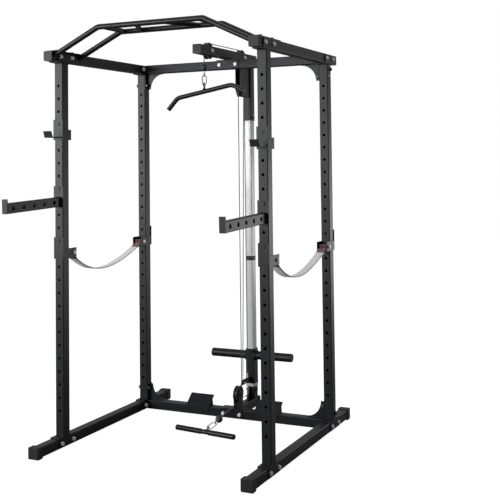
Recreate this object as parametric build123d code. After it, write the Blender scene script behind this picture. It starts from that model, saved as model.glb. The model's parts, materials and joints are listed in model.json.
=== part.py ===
from build123d import *
from math import asin, atan2, cos, degrees, hypot, radians, sin, sqrt
import os

# Power cage with a plate-loaded cable tower. Millimetres, +Z up, the front faces -Y.
# Y places below are counted from the middle of the four uprights; the finished pieces are
# moved at the end so that the origin lies under the middle of the whole outline, on the floor.

# ---------------------------------------------------------------- driving dimensions
TUBE = 50.0                  # square tube, side
TUBE_WALL = 2.0
TUBE_CORNER = 4.0            # outer corner radius
CAGE_WIDTH = 1160.0          # upright centre to upright centre, X
CAGE_DEPTH = 760.0           # upright centre to upright centre, Y
HOLE_PITCH = 66.0            # adjustment holes
HOLE_COUNT = 26
HOLE_DIAMETER = 15.0
HOLE_FIRST_ABOVE_RAIL = 130.0
HOLE_LAST_BELOW_TOP = 122.0
FOOT_HEIGHT = 5.0            # plastic under the base rails
BASE_RAIL_LENGTH = 1212.0
TOP_RAIL_LENGTH = 974.0
PLATE = 4.0                  # thickness of saddles, gussets and bracket plates
WELD = 0.6                   # depth by which welded pieces run into each other
FIT = 0.3                    # gap between pieces that only rest on each other

SADDLE_LENGTH = 124.0
SADDLE_BOLT_SPACING = 90.0
BOLT_SHANK = 10.0
BOLT_HEAD_FLATS = 17.0
BOLT_HEAD_HEIGHT = 6.5
WASHER_DIAMETER = 21.0
WASHER_THICKNESS = 2.0
NUT_HEIGHT = 8.0
BOLT_HOLE_GAP = 0.4          # radial

GUSSET_REACH = 112.0         # along the crossmember
GUSSET_DROP = 90.0           # along the upright
GUSSET_ARC = 86.0
GUSSET_BOLT_SPACING = 38.0
GUSSET_BOLT_INSET = 26.0     # above the saddle
GUSSET_BOLT_SIDE = 14.0      # in front of the plate and behind it in turn

PULL_UP_BAR = 28.0
PULL_UP_LINK = 25.0          # end links and grips between the two bars
PULL_UP_BEHIND_RAIL_END = 35.0
PULL_UP_SPACING = 195.0      # front bar to rear bar
PULL_UP_RISE = 106.0         # bar centre above the top rails
PULL_UP_BEND_X = 299.0
PULL_UP_BEND_RADIUS = 45.0
GRIP_FRONT_X = 75.0
GRIP_REAR_X = 176.0
BAR_END_INSET = 10.0         # from the rail's inner side to the foot's down-turned ears
BAR_END_BELOW_TOP = 10.0     # bar centre below the top of the rails where it meets an ear
BAR_EAR_WIDTH = 31.0         # one ear for each bar, clear of the saddle's nuts
BAR_EAR_DROP = 28.0          # ears below the top of the rails
BAR_FOOT_PAST_BAR = 22.0     # one foot joins both bars on each rail
BAR_FOOT_BOLT_INSET = 35.0   # from each bar towards the other

TOWER_BRACKET_WIDTH = 140.0
TOWER_BOLT_SPACING = 102.0
ARM_BEFORE_DROP = 76.0       # arm in front of the hanging cable
ARM_REAR_BEHIND_POST = 32.0  # from the rear face of the guide post
POST_BEHIND_UPRIGHTS = 235.0
POST_SIDE = 45.0
HEAD_SIDE = 50.0             # black tube that the guide post runs up into
HEAD_LENGTH = 338.0
HEAD_BOLT_ABOVE_END = 22.0
SOCKET_HEIGHT = 72.0
POST_INSERT_GAP = 0.5
POST_JOINT_Z = 868.0
POST_JOINT_BAND = 26.0
POST_SPIGOT = 60.0
POST_SPIGOT_WALL = 4.0
BASE_ARM_BEHIND_POST = 24.0
SOCKET_GUSSET_REACH = 48.0

CABLE_DIAMETER = 5.0
PULLEY_DIAMETER = 90.0
PULLEY_WIDTH = 22.0
PULLEY_GROOVE_DEPTH = 5.8
PULLEY_RIM_EDGE = 3.0
SMALL_PULLEY_DIAMETER = 74.0
CABLE_BELOW_RIM = 3.0        # cable centre inside the rim
BEARING_OUTER = 26.0
BEARING_WIDTH = 9.0
SPACER_DIAMETER = 16.0
RUNNING_GAP = 0.05
LAT_DROP_BEFORE_UPRIGHTS = 296.0
ROW_RISE_BEHIND_UPRIGHTS = 100.0
SMALL_PULLEY_Z = 1850.0
LOW_PULLEY_Z = 120.0
BRACKET_INNER = 26.0         # between the side plates of a pulley bracket
BRACKET_MARGIN = 2.0         # plate beyond the pulley's rim
LOW_BRACKET_WIDTH = 52.0     # side plates of the low pulley, narrower than the pulley

CARRIAGE_SIDE = 54.0
CARRIAGE_WALL = 2.0
CARRIAGE_HEIGHT = 199.0
BUMPER_HEIGHT = 17.0
BUSH_HEIGHT = 25.0
BUSH_GAP = 0.1
HORN_DIAMETER = 48.0
HORN_LENGTH = 226.0
HORN_BELOW_TOP = 40.0
HORN_WALL = 3.0
HORN_FLANGE_DIAMETER = 60.0
HORN_FLANGE = 8.0
HORN_CAP = 5.0
TAB_BEHIND_ROW_CABLE = 7.0
ROW_CRIMP_FROM_TIP = 10.0    # where the row cable is fixed on the tab
TAB_HEIGHT = 28.0
TAB_THICKNESS = 8.0
TAB_ABOVE_BOTTOM = 12.0
FERRULE_DIAMETER = 7.2
FERRULE_LENGTH = 26.0

STOPPER_DIAMETER = 40.0
SNAP_WIRE = 7.0
LAT_SNAP_LENGTH = 56.0
LAT_SNAP_WIDTH = 32.0
ROW_SNAP_LENGTH = 84.0
ROW_SNAP_WIDTH = 42.0
CARRIAGE_SNAP_LENGTH = 86.0
CARRIAGE_SNAP_WIDTH = 54.0
GATE_GAP = 0.4
GATE_PIN = 2.4
GATE_CHEEK = 1.6
EYE_RING = 18.0              # ring centre-line diameter
EYE_WIRE = 6.0
THIMBLE_RING = 16.0
THIMBLE_WIRE = 5.0
COLLAR_LENGTH = 12.0
EYE_NECK = 14.0
LAT_STOPPER_Z = 1941.0
LAT_BAR_DIAMETER = 25.0
LAT_BAR_BEND_X = 170.0
LAT_BAR_END_X = 236.0
LAT_BAR_END_DROP = 50.0
LAT_BAR_TILT = 10.0          # degrees that the bar hangs off level
BAR_BEND_RADIUS = 60.0
ROW_BAR_DIAMETER = 28.0
ROW_BAR_NECK_DIAMETER = 24.0
ROW_BAR_NECK = 44.0          # slim middle between the two grips
ROW_BAR_LENGTH = 378.0
ROW_BAR_BEFORE_UPRIGHTS = 326.0
ROW_BAR_YAW = -7.0           # degrees that the bar lies off square

J_HOOK_HOLE_LEFT = 3         # holes are counted from the top, from 0
J_HOOK_HOLE_RIGHT = 4
J_HOOK_ABOVE_PIN = 25.0
J_HOOK_LEDGE_BELOW_PIN = 64.0
J_HOOK_BELOW_PIN = 80.0
J_HOOK_REACH = 76.0
J_HOOK_LIP = 28.0
J_HOOK_LIP_LEAN = 10.0
J_HOOK_PLATE = 5.0
CHEEK_PAST_UPRIGHT = 14.0
PIN_GAP = 0.3
PIN_LENGTH = 40.0
PIN_HEAD_DIAMETER = 20.0
PIN_HEAD = 3.0

SPOTTER_PIN_HOLE_LEFT = 8
SPOTTER_PIN_HOLE_RIGHT = 9
SPOTTER_LENGTH = 388.0
SPOTTER_WIDTH = 30.0
SPOTTER_HOLE_COUNT = 5
SPOTTER_HOLE_PITCH = 75.0
SPOTTER_FIRST_HOLE = 50.0
SPOTTER_HOLE_DIAMETER = 22.0
SPOTTER_STOP_RISE = 20.0
SPOTTER_STOP_PLATE = 6.0
SPOTTER_PLATE_ABOVE_PIN = 15.0
SPOTTER_DROOP = 2.0          # degrees that the arm points below level

STRAP_HOLE = 12
STRAP_PLATE_ABOVE_PIN = 18.0
STRAP_PLATE_BELOW_PIN = 84.0
STRAP_CHEEK_HEIGHT = 50.0
STRAP_CHEEK_REACH = 54.0
STRAP_PIN_REACH = 32.0
STRAP_PIN_DIAMETER = 12.0
STRAP_WIDTH = 48.0
STRAP_THICKNESS = 5.0
STRAP_SAG = 99.0
STRAP_SKEW = 0.35            # the stiff sewn rear end moves the low point forward
STRAP_STEPS = 28

FOOT_PLATE_X = 215.0
FOOT_PLATE_WIDTH = 146.0
FOOT_PLATE_LIP = 26.0
FOOT_PLATE_RUN = 60.0
FOOT_PLATE_RISE = 54.0

END_CAP_PLATE = 3.0
END_CAP_PLUG = 16.0
END_CAP_WALL = 3.0
PLUG_CORNER = 1.5
END_CAP_GAP = 0.2
BASE_FOOT_LENGTH = 36.0
TOWER_FOOT_LENGTH = 17.0
BASE_FOOT_WALL = 3.5
BASE_FOOT_CHAMFER = 6.0

# ---------------------------------------------------------------- places that follow from them
HALF = TUBE / 2
SIDES = {"left": -1, "right": 1}
UPRIGHT_X = CAGE_WIDTH / 2
UPRIGHT_Y = CAGE_DEPTH / 2
POST_Y = UPRIGHT_Y + POST_BEHIND_UPRIGHTS
LAT_DROP_Y = UPRIGHT_Y - LAT_DROP_BEFORE_UPRIGHTS
ARM_FRONT_Y = LAT_DROP_Y - ARM_BEFORE_DROP
ROW_RISE_Y = UPRIGHT_Y + ROW_RISE_BEHIND_UPRIGHTS
TAB_TIP_Y = ROW_RISE_Y + TAB_BEHIND_ROW_CABLE
ROW_TAB_Y = TAB_TIP_Y + ROW_CRIMP_FROM_TIP
ROW_BAR_CENTRE_Y = UPRIGHT_Y - ROW_BAR_BEFORE_UPRIGHTS
PULL_UP_FRONT_Y = PULL_UP_BEHIND_RAIL_END - TOP_RAIL_LENGTH / 2
PULL_UP_REAR_Y = PULL_UP_FRONT_Y + PULL_UP_SPACING
BAR_EAR_X = UPRIGHT_X - HALF - BAR_END_INSET
BASE_Z0 = FOOT_HEIGHT
BASE_Z1 = BASE_Z0 + TUBE
BASE_MID = BASE_Z0 + HALF
LOWEST_HOLE = BASE_Z1 + HOLE_FIRST_ABOVE_RAIL
HIGHEST_HOLE = LOWEST_HOLE + (HOLE_COUNT - 1) * HOLE_PITCH
TOP_Z0 = HIGHEST_HOLE + HOLE_LAST_BELOW_TOP
TOP_Z1 = TOP_Z0 + TUBE
TOP_MID = TOP_Z0 + HALF
FRONT_FACE = -UPRIGHT_Y - HALF           # front face of the front uprights
REAR_FACE = UPRIGHT_Y + HALF             # rear face of the rear uprights
CROSS_FRONT = UPRIGHT_Y - HALF           # front face of the rear crossmembers
CROSS_HALF = UPRIGHT_X - HALF - PLATE    # half length of a crossmember, saddle to saddle
ARM_Z0 = TOP_Z1 + PLATE
ARM_Z1 = ARM_Z0 + TUBE
ARM_MID = ARM_Z0 + HALF
POST_HALF = POST_SIDE / 2
BASE_ARM_END = POST_Y + POST_HALF + BASE_ARM_BEHIND_POST
ARM_REAR_Y = POST_Y + POST_HALF + ARM_REAR_BEHIND_POST
HEAD_Z0 = ARM_Z0 - HEAD_LENGTH
SOCKET_Z1 = BASE_Z1 + SOCKET_HEIGHT
CABLE_R = CABLE_DIAMETER / 2
PULLEY_R = PULLEY_DIAMETER / 2
PULLEY_CABLE_R = PULLEY_R - CABLE_BELOW_RIM
SMALL_PULLEY_R = SMALL_PULLEY_DIAMETER / 2
SMALL_CABLE_R = SMALL_PULLEY_R - CABLE_BELOW_RIM
FRONT_PULLEY_Y = LAT_DROP_Y + PULLEY_CABLE_R
SMALL_PULLEY_Y = ROW_RISE_Y + SMALL_CABLE_R
REAR_PULLEY_Y = SMALL_PULLEY_Y
LOW_PULLEY_Y = ROW_RISE_Y - PULLEY_CABLE_R
LAT_LIFT_Y = REAR_PULLEY_Y + PULLEY_CABLE_R
ROW_LIFT_Y = SMALL_PULLEY_Y + SMALL_CABLE_R
CARRIAGE_Z0 = SOCKET_Z1 + BUMPER_HEIGHT + FIT
CARRIAGE_Z1 = CARRIAGE_Z0 + CARRIAGE_HEIGHT
HORN_Z = CARRIAGE_Z1 - HORN_BELOW_TOP
TAB_Z0 = CARRIAGE_Z0 + TAB_ABOVE_BOTTOM
TAB_Z1 = TAB_Z0 + TAB_HEIGHT
SNAP_R = SNAP_WIRE / 2
EYE_INNER = (EYE_RING - EYE_WIRE) / 2
THIMBLE_INNER = (THIMBLE_RING - THIMBLE_WIRE) / 2
ROW_BAR_Z = ROW_BAR_DIAMETER / 2 + FIT
STRAP_PIN_Z = LOWEST_HOLE + (HOLE_COUNT - 1 - STRAP_HOLE - 1) * HOLE_PITCH
STRAP_PIN_Y = UPRIGHT_Y - HALF - STRAP_PIN_REACH
SPOTTER_REACH = ((SPOTTER_LENGTH + SPOTTER_STOP_PLATE) * cos(radians(SPOTTER_DROOP))
                 + (HALF + SPOTTER_STOP_RISE) * sin(radians(SPOTTER_DROOP)))
OUTLINE_FRONT = FRONT_FACE - FIT - PLATE - SPOTTER_REACH
OUTLINE_REAR = ARM_REAR_Y + END_CAP_PLATE
TO_ORIGIN = Pos(0, -(OUTLINE_FRONT + OUTLINE_REAR) / 2, 0)


def hole_z(index):
    """Height of an adjustment hole, counted from the top."""
    return HIGHEST_HOLE - index * HOLE_PITCH


# ---------------------------------------------------------------- shapes used again and again
def block(x0, x1, y0, y1, z0, z1):
    """A box between two corners."""
    size = (abs(x1 - x0), abs(y1 - y0), abs(z1 - z0))
    return Pos((x0 + x1) / 2, (y0 + y1) / 2, (z0 + z1) / 2) * Box(*size)


def rod(start, end, radius):
    """A round bar from one point to another."""
    a, b = Vector(*start), Vector(*end)
    plane = Plane(origin=a, z_dir=b - a)
    return plane * Cylinder(radius, (b - a).length, align=(Align.CENTER, Align.CENTER, Align.MIN))


def tube_section(side, wall, corner):
    return RectangleRounded(side, side, corner) - RectangleRounded(
        side - 2 * wall, side - 2 * wall, max(corner - wall, 0.5))


def tube_z(x, y, z0, z1, side=TUBE, wall=TUBE_WALL, corner=TUBE_CORNER):
    return Pos(x, y, z0) * extrude(tube_section(side, wall, corner), z1 - z0)


def tube_y(x, z, y0, y1):
    return Pos(x, y0, z) * Rot(X=-90) * extrude(tube_section(TUBE, TUBE_WALL, TUBE_CORNER), y1 - y0)


def tube_x(y, z, x0, x1):
    return Pos(x0, y, z) * Rot(Y=90) * extrude(tube_section(TUBE, TUBE_WALL, TUBE_CORNER), x1 - x0)


def plate_x(points, x0, thickness):
    """A flat plate that stands across X, drawn by its (y, z) outline."""
    face = make_face(Polyline(*[(x0, y, z) for y, z in points], close=True))
    return extrude(face, thickness, dir=(1, 0, 0))


def plate_y(points, y0, thickness):
    """A flat plate that stands across Y, drawn by its (x, z) outline."""
    face = make_face(Polyline(*[(x, y0, z) for x, z in points], close=True))
    return extrude(face, thickness, dir=(0, 1, 0))


def swept(points, bend, radius):
    """A round bar along straight runs with rounded bends."""
    path = FilletPolyline(*points, radius=bend)
    start = Plane(origin=path @ 0, z_dir=path % 0)
    return sweep(start * Circle(radius), path=path)


def hex_prism(flats, height):
    return extrude(RegularPolygon(flats / 2, 6, major_radius=False), height)


def bolt(position, direction, grip):
    """A hexagon bolt with its washer; position is on the clamped face under the head."""
    frame = Plane(origin=position, z_dir=direction)
    washer = Cylinder(WASHER_DIAMETER / 2, WASHER_THICKNESS, align=(Align.CENTER, Align.CENTER, Align.MAX))
    head = Pos(0, 0, -WASHER_THICKNESS - BOLT_HEAD_HEIGHT) * hex_prism(BOLT_HEAD_FLATS, BOLT_HEAD_HEIGHT)
    length = grip + WASHER_THICKNESS + NUT_HEIGHT + BOLT_SHANK * 0.3
    shank = Cylinder(BOLT_SHANK / 2, length, align=(Align.CENTER, Align.CENTER, Align.MIN))
    return frame * (washer + head + shank)


def nut(position, direction, grip):
    """The washer and nut on the far side of a bolt placed with the same values."""
    frame = Plane(origin=position, z_dir=direction)
    washer = Pos(0, 0, grip) * Cylinder(
        WASHER_DIAMETER / 2, WASHER_THICKNESS, align=(Align.CENTER, Align.CENTER, Align.MIN))
    body = Pos(0, 0, grip + WASHER_THICKNESS) * hex_prism(BOLT_HEAD_FLATS, NUT_HEIGHT)
    bore = Cylinder(BOLT_SHANK / 2, 3 * (grip + NUT_HEIGHT))
    return frame * (washer + body - bore)


def bolt_hole(position, direction, depth):
    """A clearance hole for a bolt, to be cut from what it passes through."""
    frame = Plane(origin=position, z_dir=direction)
    return frame * Cylinder(BOLT_SHANK / 2 + BOLT_HOLE_GAP, 2 * depth)


# ---------------------------------------------------------------- where every bolt goes
def saddle_bolts():
    """Two bolts through each end of each upright's saddle, from the outer side."""
    places = []
    for side in SIDES.values():
        for y in (-UPRIGHT_Y, UPRIGHT_Y):
            for z in (BASE_MID, TOP_MID):
                for step in (-1, 1):
                    x = side * (UPRIGHT_X + HALF + PLATE)
                    head = (x, y + step * SADDLE_BOLT_SPACING / 2, z)
                    places.append((head, (-side, 0, 0), TUBE + 2 * PLATE))
    return places


def gusset_bolt_heights():
    low = BASE_Z1 + PLATE + GUSSET_BOLT_INSET
    high = TOP_Z0 - PLATE - GUSSET_BOLT_INSET
    return (low, low + GUSSET_BOLT_SPACING, high, high - GUSSET_BOLT_SPACING)


def gusset_bolts():
    """Bolts across the rear uprights, through the flanges of the gussets."""
    places = []
    for side in SIDES.values():
        for i, z in enumerate(gusset_bolt_heights()):
            y = UPRIGHT_Y + (-1) ** i * GUSSET_BOLT_SIDE
            places.append(((side * (UPRIGHT_X + HALF), y, z), (-side, 0, 0), TUBE + PLATE))
    return places


def tower_bolts():
    """Bolts that hold the tower's two brackets to the rear crossmembers."""
    return [((step * TOWER_BOLT_SPACING / 2, CROSS_FRONT - PLATE, z), (0, 1, 0), TUBE + 2 * PLATE)
            for step in (-1, 1) for z in (BASE_MID, TOP_MID)]


def post_bolts():
    """Bolts across the two ends of the guide post."""
    heights = (HEAD_Z0 + HEAD_BOLT_ABOVE_END, SOCKET_Z1 - HEAD_BOLT_ABOVE_END)
    return [((HEAD_SIDE / 2, POST_Y, z), (-1, 0, 0), HEAD_SIDE) for z in heights]


def bar_foot_bolts():
    """Short bolts through the pull-up bar's feet and the top wall of the rails."""
    rows = (PULL_UP_FRONT_Y + BAR_FOOT_BOLT_INSET, PULL_UP_REAR_Y - BAR_FOOT_BOLT_INSET)
    return [((side * UPRIGHT_X, y, TOP_Z1 + PLATE), (0, 0, -1), PLATE + TUBE_WALL)
            for side in SIDES.values() for y in rows]


def all_bolts():
    return saddle_bolts() + gusset_bolts() + tower_bolts() + post_bolts() + bar_foot_bolts()


def drill(part, places):
    """Cut the clearance holes for the given bolts."""
    return part - [bolt_hole(position, direction, grip) for position, direction, grip in places]


def frame_bolts():
    return [bolt(*place) for place in all_bolts()]


def frame_nuts():
    return [nut(*place) for place in all_bolts()]


# ---------------------------------------------------------------- the cage
def base_rail(side):
    half = BASE_RAIL_LENGTH / 2
    rail = tube_y(side * UPRIGHT_X, BASE_MID, -half, half)
    return drill(rail, saddle_bolts())


def top_rail(side):
    half = TOP_RAIL_LENGTH / 2
    rail = tube_y(side * UPRIGHT_X, TOP_MID, -half, half)
    return drill(rail, saddle_bolts() + bar_foot_bolts())


def saddle(x, y, z_rail_mid, up):
    """A bent plate that straddles a rail; up is +1 on a rail below the upright, -1 above it."""
    reach = HALF + PLATE
    z_seat = z_rail_mid + up * HALF
    z_lip = z_rail_mid - up * (HALF - PLATE)
    web = block(x - reach, x + reach, y - SADDLE_LENGTH / 2, y + SADDLE_LENGTH / 2,
                z_seat, z_seat + up * PLATE)
    shape = web
    for step in (-1, 1):
        shape += block(x + step * HALF, x + step * reach, y - SADDLE_LENGTH / 2,
                       y + SADDLE_LENGTH / 2, z_lip, z_seat + up * PLATE)
    return shape


def upright(side, end):
    """An upright with its two saddles welded on and its row of adjustment holes."""
    x, y = side * UPRIGHT_X, end * UPRIGHT_Y
    post = tube_z(x, y, BASE_Z1 + PLATE - WELD, TOP_Z0 - PLATE + WELD)
    post += saddle(x, y, BASE_MID, 1)
    post += saddle(x, y, TOP_MID, -1)
    holes = [Pos(x, y, hole_z(i)) * Rot(X=90) * Cylinder(HOLE_DIAMETER / 2, 2 * TUBE)
             for i in range(HOLE_COUNT)]
    return drill(post - holes, saddle_bolts() + gusset_bolts())


def gusset(side, z_mid, up):
    """A corner plate with a hollow quarter-round edge, and the flange that bolts to the upright."""
    inner = UPRIGHT_X - HALF
    tip = inner - GUSSET_REACH
    edge = z_mid + up * HALF
    leg_top = edge + up * (PLATE + 2)
    leg_end = edge + up * GUSSET_DROP
    flange_x = inner - PLATE
    outline = [(tip, edge - up * WELD), (flange_x - WELD, edge - up * WELD), (flange_x - WELD, leg_top),
               (flange_x + WELD, leg_top), (flange_x + WELD, leg_end), (tip, leg_end)]
    plate = plate_y([(side * x, z) for x, z in outline], UPRIGHT_Y - PLATE / 2, PLATE)
    scoop = Pos(side * tip, UPRIGHT_Y, leg_end) * Rot(X=90) * Cylinder(GUSSET_ARC, 4 * PLATE)
    flange = block(side * flange_x, side * inner, CROSS_FRONT, CROSS_FRONT + TUBE, leg_top, leg_end)
    return plate - scoop + flange


def rear_crossmember(z_mid, up):
    """A crossmember with its two gussets; up is +1 where the gussets rise, -1 where they drop."""
    beam = tube_x(UPRIGHT_Y, z_mid, -CROSS_HALF, CROSS_HALF)
    for side in SIDES.values():
        beam += gusset(side, z_mid, up)
    return drill(beam, gusset_bolts() + tower_bolts())


def pull_up_path(y):
    """The bent bar's centre line: level between its bends, then down to the feet and past them."""
    z = TOP_Z1 + PULL_UP_RISE
    slope = (PULL_UP_RISE + BAR_END_BELOW_TOP) / (BAR_EAR_X - PULL_UP_BEND_X)
    z_end = z - (UPRIGHT_X - PULL_UP_BEND_X) * slope
    return [(-UPRIGHT_X, y, z_end), (-PULL_UP_BEND_X, y, z), (PULL_UP_BEND_X, y, z), (UPRIGHT_X, y, z_end)]


def pull_up_foot(side):
    """A bolted plate along the top of the rail, with a down-turned ear behind the end of each bar."""
    inner = side * BAR_EAR_X
    z_top = TOP_Z1 + PLATE
    shape = block(inner, side * (UPRIGHT_X + HALF - TUBE_CORNER), PULL_UP_FRONT_Y - BAR_FOOT_PAST_BAR,
                  PULL_UP_REAR_Y + BAR_FOOT_PAST_BAR, TOP_Z1, z_top)
    for y in (PULL_UP_FRONT_Y, PULL_UP_REAR_Y):
        shape += block(inner, inner + side * PLATE, y - BAR_EAR_WIDTH / 2, y + BAR_EAR_WIDTH / 2,
                       TOP_Z1 - BAR_EAR_DROP, z_top)
    return shape


def pull_up_bar():
    """Two bent bars, two end links and two splayed grips, welded to two long bolted feet."""
    z = TOP_Z1 + PULL_UP_RISE
    radius = PULL_UP_BAR / 2
    shape = swept(pull_up_path(PULL_UP_FRONT_Y), PULL_UP_BEND_RADIUS, radius)
    shape += swept(pull_up_path(PULL_UP_REAR_Y), PULL_UP_BEND_RADIUS, radius)
    for side in SIDES.values():
        for x_front, x_rear in ((PULL_UP_BEND_X - PULL_UP_BAR, PULL_UP_BEND_X - PULL_UP_BAR),
                                (GRIP_FRONT_X, GRIP_REAR_X)):
            shape += rod((side * x_front, PULL_UP_FRONT_Y, z), (side * x_rear, PULL_UP_REAR_Y, z),
                         PULL_UP_LINK / 2)
        shape -= block(side * (BAR_EAR_X + WELD), side * CAGE_WIDTH, -CAGE_DEPTH, CAGE_DEPTH, BASE_Z0, z)
        shape += pull_up_foot(side)
    return drill(shape, bar_foot_bolts())


def end_cap(origin, direction):
    """A square plastic cap pushed into the end of a tube."""
    plug_side = TUBE - 2 * TUBE_WALL - 2 * END_CAP_GAP
    face = extrude(RectangleRounded(TUBE, TUBE, TUBE_CORNER), END_CAP_PLATE)
    plug = Pos(0, 0, -END_CAP_PLUG) * extrude(
        tube_section(plug_side, END_CAP_WALL, PLUG_CORNER), END_CAP_PLUG)
    return Plane(origin=origin, x_dir=(1, 0, 0), z_dir=direction) * (face + plug)


def tube_end_caps():
    """Caps for the top rails, the tower's arm and the tower's base arm."""
    caps = []
    for side in SIDES.values():
        for end in (-1, 1):
            caps.append(end_cap((side * UPRIGHT_X, end * TOP_RAIL_LENGTH / 2, TOP_MID), (0, end, 0)))
    caps.append(end_cap((0, ARM_FRONT_Y, ARM_MID), (0, -1, 0)))
    caps.append(end_cap((0, ARM_REAR_Y, ARM_MID), (0, 1, 0)))
    return caps


def base_foot(x, y_end, direction, length):
    """A plastic shoe over the end of a base tube; it reaches the floor."""
    outer_end = y_end + direction * BASE_FOOT_WALL
    inner_end = y_end - direction * length
    shoe = block(x - HALF - BASE_FOOT_WALL, x + HALF + BASE_FOOT_WALL,
                 inner_end, outer_end, 0, BASE_Z1 + BASE_FOOT_WALL)
    pocket = block(x - HALF, x + HALF, inner_end, y_end, BASE_Z0, BASE_Z1)
    toe = shoe.edges().filter_by(Axis.X).group_by(Axis.Z)[0]
    toe = toe.sort_by(Axis.Y)[0] if direction < 0 else toe.sort_by(Axis.Y)[-1]
    return chamfer(toe, BASE_FOOT_CHAMFER) - pocket


def base_feet():
    """One shoe at each end of the base rails and one under the tower's base arm."""
    feet = []
    for side in SIDES.values():
        for end in (-1, 1):
            feet.append(base_foot(side * UPRIGHT_X, end * BASE_RAIL_LENGTH / 2, end, BASE_FOOT_LENGTH))
    feet.append(base_foot(0, BASE_ARM_END, 1, TOWER_FOOT_LENGTH))
    return feet


# ---------------------------------------------------------------- foot plates and safety straps
def foot_plate(side):
    """A bent plate on the lower crossmember to push the feet against when rowing."""
    x0 = side * FOOT_PLATE_X - FOOT_PLATE_WIDTH / 2
    y = CROSS_FRONT
    z = BASE_Z1
    slope = hypot(FOOT_PLATE_RUN, FOOT_PLATE_RISE)
    off_y = PLATE * FOOT_PLATE_RISE / slope
    off_z = PLATE * FOOT_PLATE_RUN / slope
    outline = [(y, z - FOOT_PLATE_LIP), (y, z), (y + PLATE, z),
               (y + FOOT_PLATE_RUN, z + FOOT_PLATE_RISE - off_z),
               (y + FOOT_PLATE_RUN - off_y, z + FOOT_PLATE_RISE), (y - PLATE, z + off_z),
               (y - PLATE, z - FOOT_PLATE_LIP)]
    sheet = plate_x(outline, x0, FOOT_PLATE_WIDTH)
    rib_y = y + FOOT_PLATE_RUN * 0.7
    rib_z = z + FOOT_PLATE_RISE * 0.7
    for x in (x0, x0 + FOOT_PLATE_WIDTH - PLATE):
        sheet += plate_x([(y, z), (rib_y, rib_z), (y + TUBE - TUBE_CORNER, z)], x, PLATE)
    return sheet


def strap_bracket(side, end):
    """A channel round an upright; its cheeks carry the pin that a strap hangs on."""
    x = side * UPRIGHT_X
    near = FRONT_FACE - PLATE
    z_pin = hole_z(STRAP_HOLE)
    inner = HALF + FIT
    outer = inner + PLATE
    plate = block(-outer, outer, near, near + PLATE, z_pin - STRAP_PLATE_BELOW_PIN,
                  z_pin + STRAP_PLATE_ABOVE_PIN)
    cheek_end = FRONT_FACE + TUBE + STRAP_CHEEK_REACH
    shape = plate
    for step in (-1, 1):
        shape += block(step * inner, step * outer, near, cheek_end,
                       STRAP_PIN_Z - STRAP_CHEEK_HEIGHT / 2, STRAP_PIN_Z + STRAP_CHEEK_HEIGHT / 2)
    shape += rod((0, near, z_pin), (0, FRONT_FACE + PIN_LENGTH, z_pin), HOLE_DIAMETER / 2 - PIN_GAP)
    shape += rod((0, near - PIN_HEAD, z_pin), (0, near, z_pin), PIN_HEAD_DIAMETER / 2)
    y_pin = -STRAP_PIN_Y
    shape -= rod((-2 * outer, y_pin, STRAP_PIN_Z), (2 * outer, y_pin, STRAP_PIN_Z),
                 STRAP_PIN_DIAMETER / 2 + RUNNING_GAP)
    if end > 0:
        shape = mirror(shape, about=Plane.XZ)
    return Pos(x, 0, 0) * shape


def strap_pin(side, end):
    """A headed pin across the cheeks of a strap bracket, with a nut."""
    x, y, z = side * UPRIGHT_X, end * STRAP_PIN_Y, STRAP_PIN_Z
    outer = HALF + FIT + PLATE
    reach = outer + NUT_HEIGHT + WASHER_THICKNESS
    pin = rod((x - reach, y, z), (x + reach, y, z), STRAP_PIN_DIAMETER / 2)
    for step in (-1, 1):
        face = Plane(origin=(x + step * outer, y, z), z_dir=(step, 0, 0))
        pin += face * hex_prism(BOLT_HEAD_FLATS, NUT_HEIGHT)
    return pin


def strap_pins():
    return [strap_pin(side, end) for side in SIDES.values() for end in (-1, 1)]


def strap_drop(t):
    """How far the strap hangs below its ends, for t from -1 at the front to 1 at the rear."""
    return STRAP_SAG * (1 - t * t) * (1 - STRAP_SKEW * t)


def safety_strap(side):
    """The webbing as a plain band that hangs between two sewn loops round the pins."""
    x0 = side * UPRIGHT_X - STRAP_WIDTH / 2
    loop_inner = STRAP_PIN_DIAMETER / 2 + FIT
    loop_outer = loop_inner + STRAP_THICKNESS
    steps = [2 * i / STRAP_STEPS - 1 for i in range(STRAP_STEPS + 1)]
    upper = [(t * STRAP_PIN_Y, STRAP_PIN_Z - loop_inner - strap_drop(t)) for t in steps]
    lower = [(y, z - STRAP_THICKNESS) for y, z in reversed(upper)]
    band = make_face(Polyline(*(upper + lower), close=True))
    for y in (-STRAP_PIN_Y, STRAP_PIN_Y):
        band += Pos(y, STRAP_PIN_Z) * (Circle(loop_outer) - Circle(loop_inner))
    for y in (-STRAP_PIN_Y, STRAP_PIN_Y):
        band -= Pos(y, STRAP_PIN_Z) * Circle(loop_inner)
    section = Plane(origin=(x0, 0, 0), x_dir=(0, 1, 0), z_dir=(1, 0, 0))
    return extrude(section * band, STRAP_WIDTH)


# ---------------------------------------------------------------- the cable tower
def tower_saddle(z_mid):
    """A bent plate over a rear crossmember, bolted through it."""
    half = TOWER_BRACKET_WIDTH / 2
    y0, y1 = CROSS_FRONT - PLATE, CROSS_FRONT + TUBE + PLATE
    z_top = z_mid + HALF + PLATE
    z_low = z_mid - HALF + PLATE
    shape = block(-half, half, y0, y1, z_mid + HALF, z_top)
    shape += block(-half, half, y0, CROSS_FRONT, z_low, z_top)
    shape += block(-half, half, CROSS_FRONT + TUBE, y1, z_low, z_top)
    return shape


def pulley_slot(y, radius):
    """The slot in the arm's top and bottom that a pulley turns in."""
    return block(-BRACKET_INNER / 2, BRACKET_INNER / 2, y - radius - 3, y + radius + 3,
                 ARM_Z0 - TUBE, ARM_Z1 + TUBE)


def axle_hole(y, z):
    return rod((-TUBE, y, z), (TUBE, y, z), BOLT_SHANK / 2 + RUNNING_GAP)


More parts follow.
